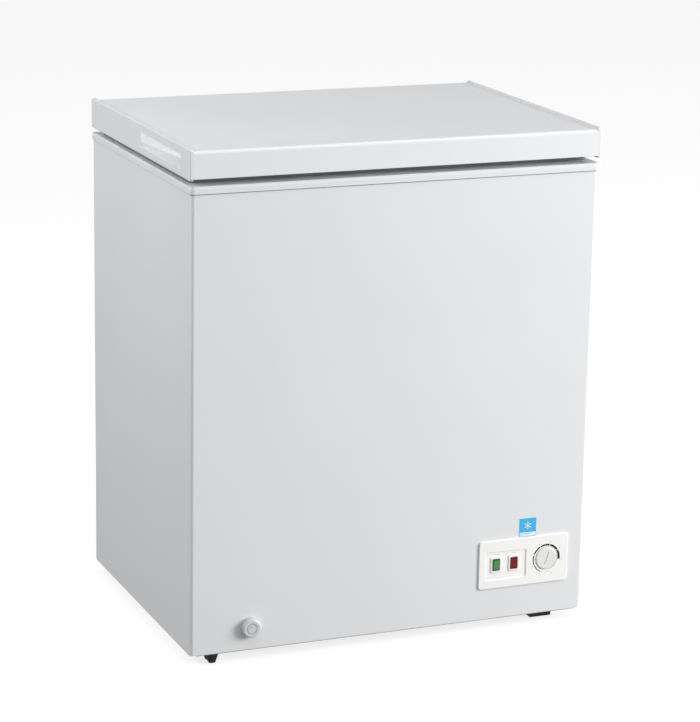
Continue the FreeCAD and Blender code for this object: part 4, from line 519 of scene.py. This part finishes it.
def hand_hold_linings():
    """Glossier, paler strip on the sloping inner wall of each hand hold: a painted highlight where that wall
    catches the light.
    """
    for side, node in ((-1, "lid_end_cap_left"), (1, "lid_end_cap_right")):
        low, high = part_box(node)
        outer = low[0] if side < 0 else high[0]
        near = low[1] + GRIP_START + 0.6 * MM
        bottom, top = low[2] + GRIP_LIFT + GRIP_SILL + 0.4 * MM, low[2] + GRIP_LIFT + GRIP_RISE - 0.4 * MM
        inner = outer - side * (GRIP_DEPTH - 0.2 * MM)
        outside = outer - side * 0.6 * MM
        bm = bmesh.new()
        line = [(inner, near), (inner, near + GRIP_LENGTH * 0.35), (outside, near + GRIP_LENGTH * 0.96)]
        lower = [bm.verts.new((x, y, bottom)) for x, y in line]
        for first, second in zip(lower, lower[1:]):
            bm.edges.new((first, second))
        grown = bmesh.ops.extrude_edge_only(bm, edges=bm.edges[:])
        raised = [item for item in grown["geom"] if isinstance(item, bmesh.types.BMVert)]
        bmesh.ops.translate(bm, vec=(0, 0, top - bottom), verts=raised)
        bmesh.ops.recalc_face_normals(bm, faces=bm.faces)
        bmesh.ops.solidify(bm, geom=bm.faces[:], thickness=0.15 * MM)
        name = "hand_hold_highlight_" + ("left" if side < 0 else "right")
        new_piece(name, bm, HOLD_HIGHLIGHT_WHITE, "lid")


INK_BLACK = printed("black_ink", (0.012, 0.010, 0.010))
INK_GREY = printed("grey_ink", (0.30, 0.29, 0.28))
# Pale grey: ink for the pointer and lamp marks, and painted shade for the ring on the drain dial.
PALE_INK_AND_SHADE = printed("pale_grey_ink_and_painted_shade", (0.44, 0.43, 0.41))
INK_WHITE = printed("white_ink", (0.86, 0.90, 0.94))
INK_BLUE = printed("blue_ink", (0.10, 0.38, 0.75))
# Dark grey painted shadow for the strip under the top frame's skirt.
SKIRT_SHADOW_DARK = printed("painted_skirt_shadow", (0.10, 0.10, 0.10))
# Paler copy of the end caps' white plastic: painted highlight for the hand holds' inner walls.
HOLD_HIGHLIGHT_WHITE = moulded_plastic("hand_hold_painted_highlight", (0.95, 0.955, 0.965), 0.25, 0.32)
dial_ring()
dial_numbers()
knob_pointer()
lamp_marks()
drain_mark()
label_print()
hand_hold_linings()
skirt_bead()


CAMERA_PLACE = (-1.6872, -4.1196, 1.5930)
CAMERA_TURN = (-22.56, 14.75, 1.05)       # degrees: round the object, above it, and tilted
CAMERA_LENS, CAMERA_FILM = 134.3, 36.0
FLOOR_REACH = 30
SKY_LOW, SKY_HIGH, SKY_SEEN = 0.22, 0.52, 1.05


def studio():
    """Camera, pale floor and soft light."""
    scene = bpy.context.scene
    scene.view_settings.view_transform = "Standard"
    azimuth, elevation, roll = (math.radians(angle) for angle in CAMERA_TURN)
    back = Vector((math.sin(azimuth) * math.cos(elevation), -math.cos(azimuth) * math.cos(elevation),
                   math.sin(elevation)))
    right = (-back).cross(Vector((0, 0, 1))).normalized()
    up = right.cross(-back)
    tilted_right = right * math.cos(roll) + up * math.sin(roll)
    tilted_up = up * math.cos(roll) - right * math.sin(roll)
    camera = bpy.data.objects.new("camera", bpy.data.cameras.new("camera"))
    camera.data.lens = CAMERA_LENS
    camera.data.sensor_width = CAMERA_FILM
    camera.matrix_world = Matrix.Translation(CAMERA_PLACE) @ Matrix(
        (tilted_right, tilted_up, back)).transposed().to_4x4()
    scene.collection.objects.link(camera)
    scene.camera = camera

    bm = bmesh.new()
    bmesh.ops.create_grid(bm, x_segments=1, y_segments=1, size=FLOOR_REACH)
    mesh = bpy.data.meshes.new("floor")
    bm.to_mesh(mesh)
    bm.free()
    floor_finish = Finish("pale_floor", roughness=0.9, specular=0.1)
    floor_finish.mottled((0.34, 0.34, 0.34), 0.5, 0.005)
    floor_finish.shader.inputs["Emission Color"].default_value = (1, 1, 1, 1)
    floor_finish.shader.inputs["Emission Strength"].default_value = 0.76
    mesh.materials.append(floor_finish.material)
    floor = bpy.data.objects.new("floor", mesh)
    scene.collection.objects.link(floor)
    floor.visible_diffuse = False
    floor.visible_glossy = False

    world = bpy.data.worlds.new("studio")
    world.use_nodes = True
    scene.world = world
    tree = world.node_tree
    background = tree.nodes["Background"]
    place = tree.nodes.new("ShaderNodeTexCoord")
    parts = tree.nodes.new("ShaderNodeSeparateXYZ")
    tree.links.new(place.outputs["Generated"], parts.inputs["Vector"])
    ramp = tree.nodes.new("ShaderNodeMapRange")
    span = (-1.0, 1.0, SKY_LOW, SKY_HIGH)
    for name, number in zip(("From Min", "From Max", "To Min", "To Max"), span):
        ramp.inputs[name].default_value = number
    tree.links.new(parts.outputs["Z"], ramp.inputs["Value"])
    path = tree.nodes.new("ShaderNodeLightPath")
    choose = tree.nodes.new("ShaderNodeMix")
    tree.links.new(path.outputs["Is Camera Ray"], choose.inputs["Factor"])
    tree.links.new(ramp.outputs["Result"], choose.inputs["A"])
    choose.inputs["B"].default_value = SKY_SEEN
    tree.links.new(choose.outputs["Result"], background.inputs["Strength"])
    background.inputs["Color"].default_value = (1.0, 1.0, 1.0, 1)

    def softbox(name, place, target, size, watts):
        light = bpy.data.lights.new(name, "AREA")
        light.shape = "RECTANGLE"
        light.size, light.size_y = size
        light.energy = watts
        lamp = bpy.data.objects.new(name, light)
        lamp.location = place
        lamp.rotation_euler = (Vector(target) - Vector(place)).to_track_quat("-Z", "Y").to_euler()
        lamp.visible_camera = False
        scene.collection.objects.link(lamp)

    softbox("key", (3.9, -2.6, 1.7), (0.0, 0, 0.5), (2.4, 2.4), 258)
    softbox("side", (-2.0, 0.15, 1.6), (-0.35, -0.1, 0.65), (0.9, 0.9), 21)
    softbox("overhead", (0.0, -1.6, 4.2), (0, 0, 0.8), (3.0, 2.0), 27)


studio()
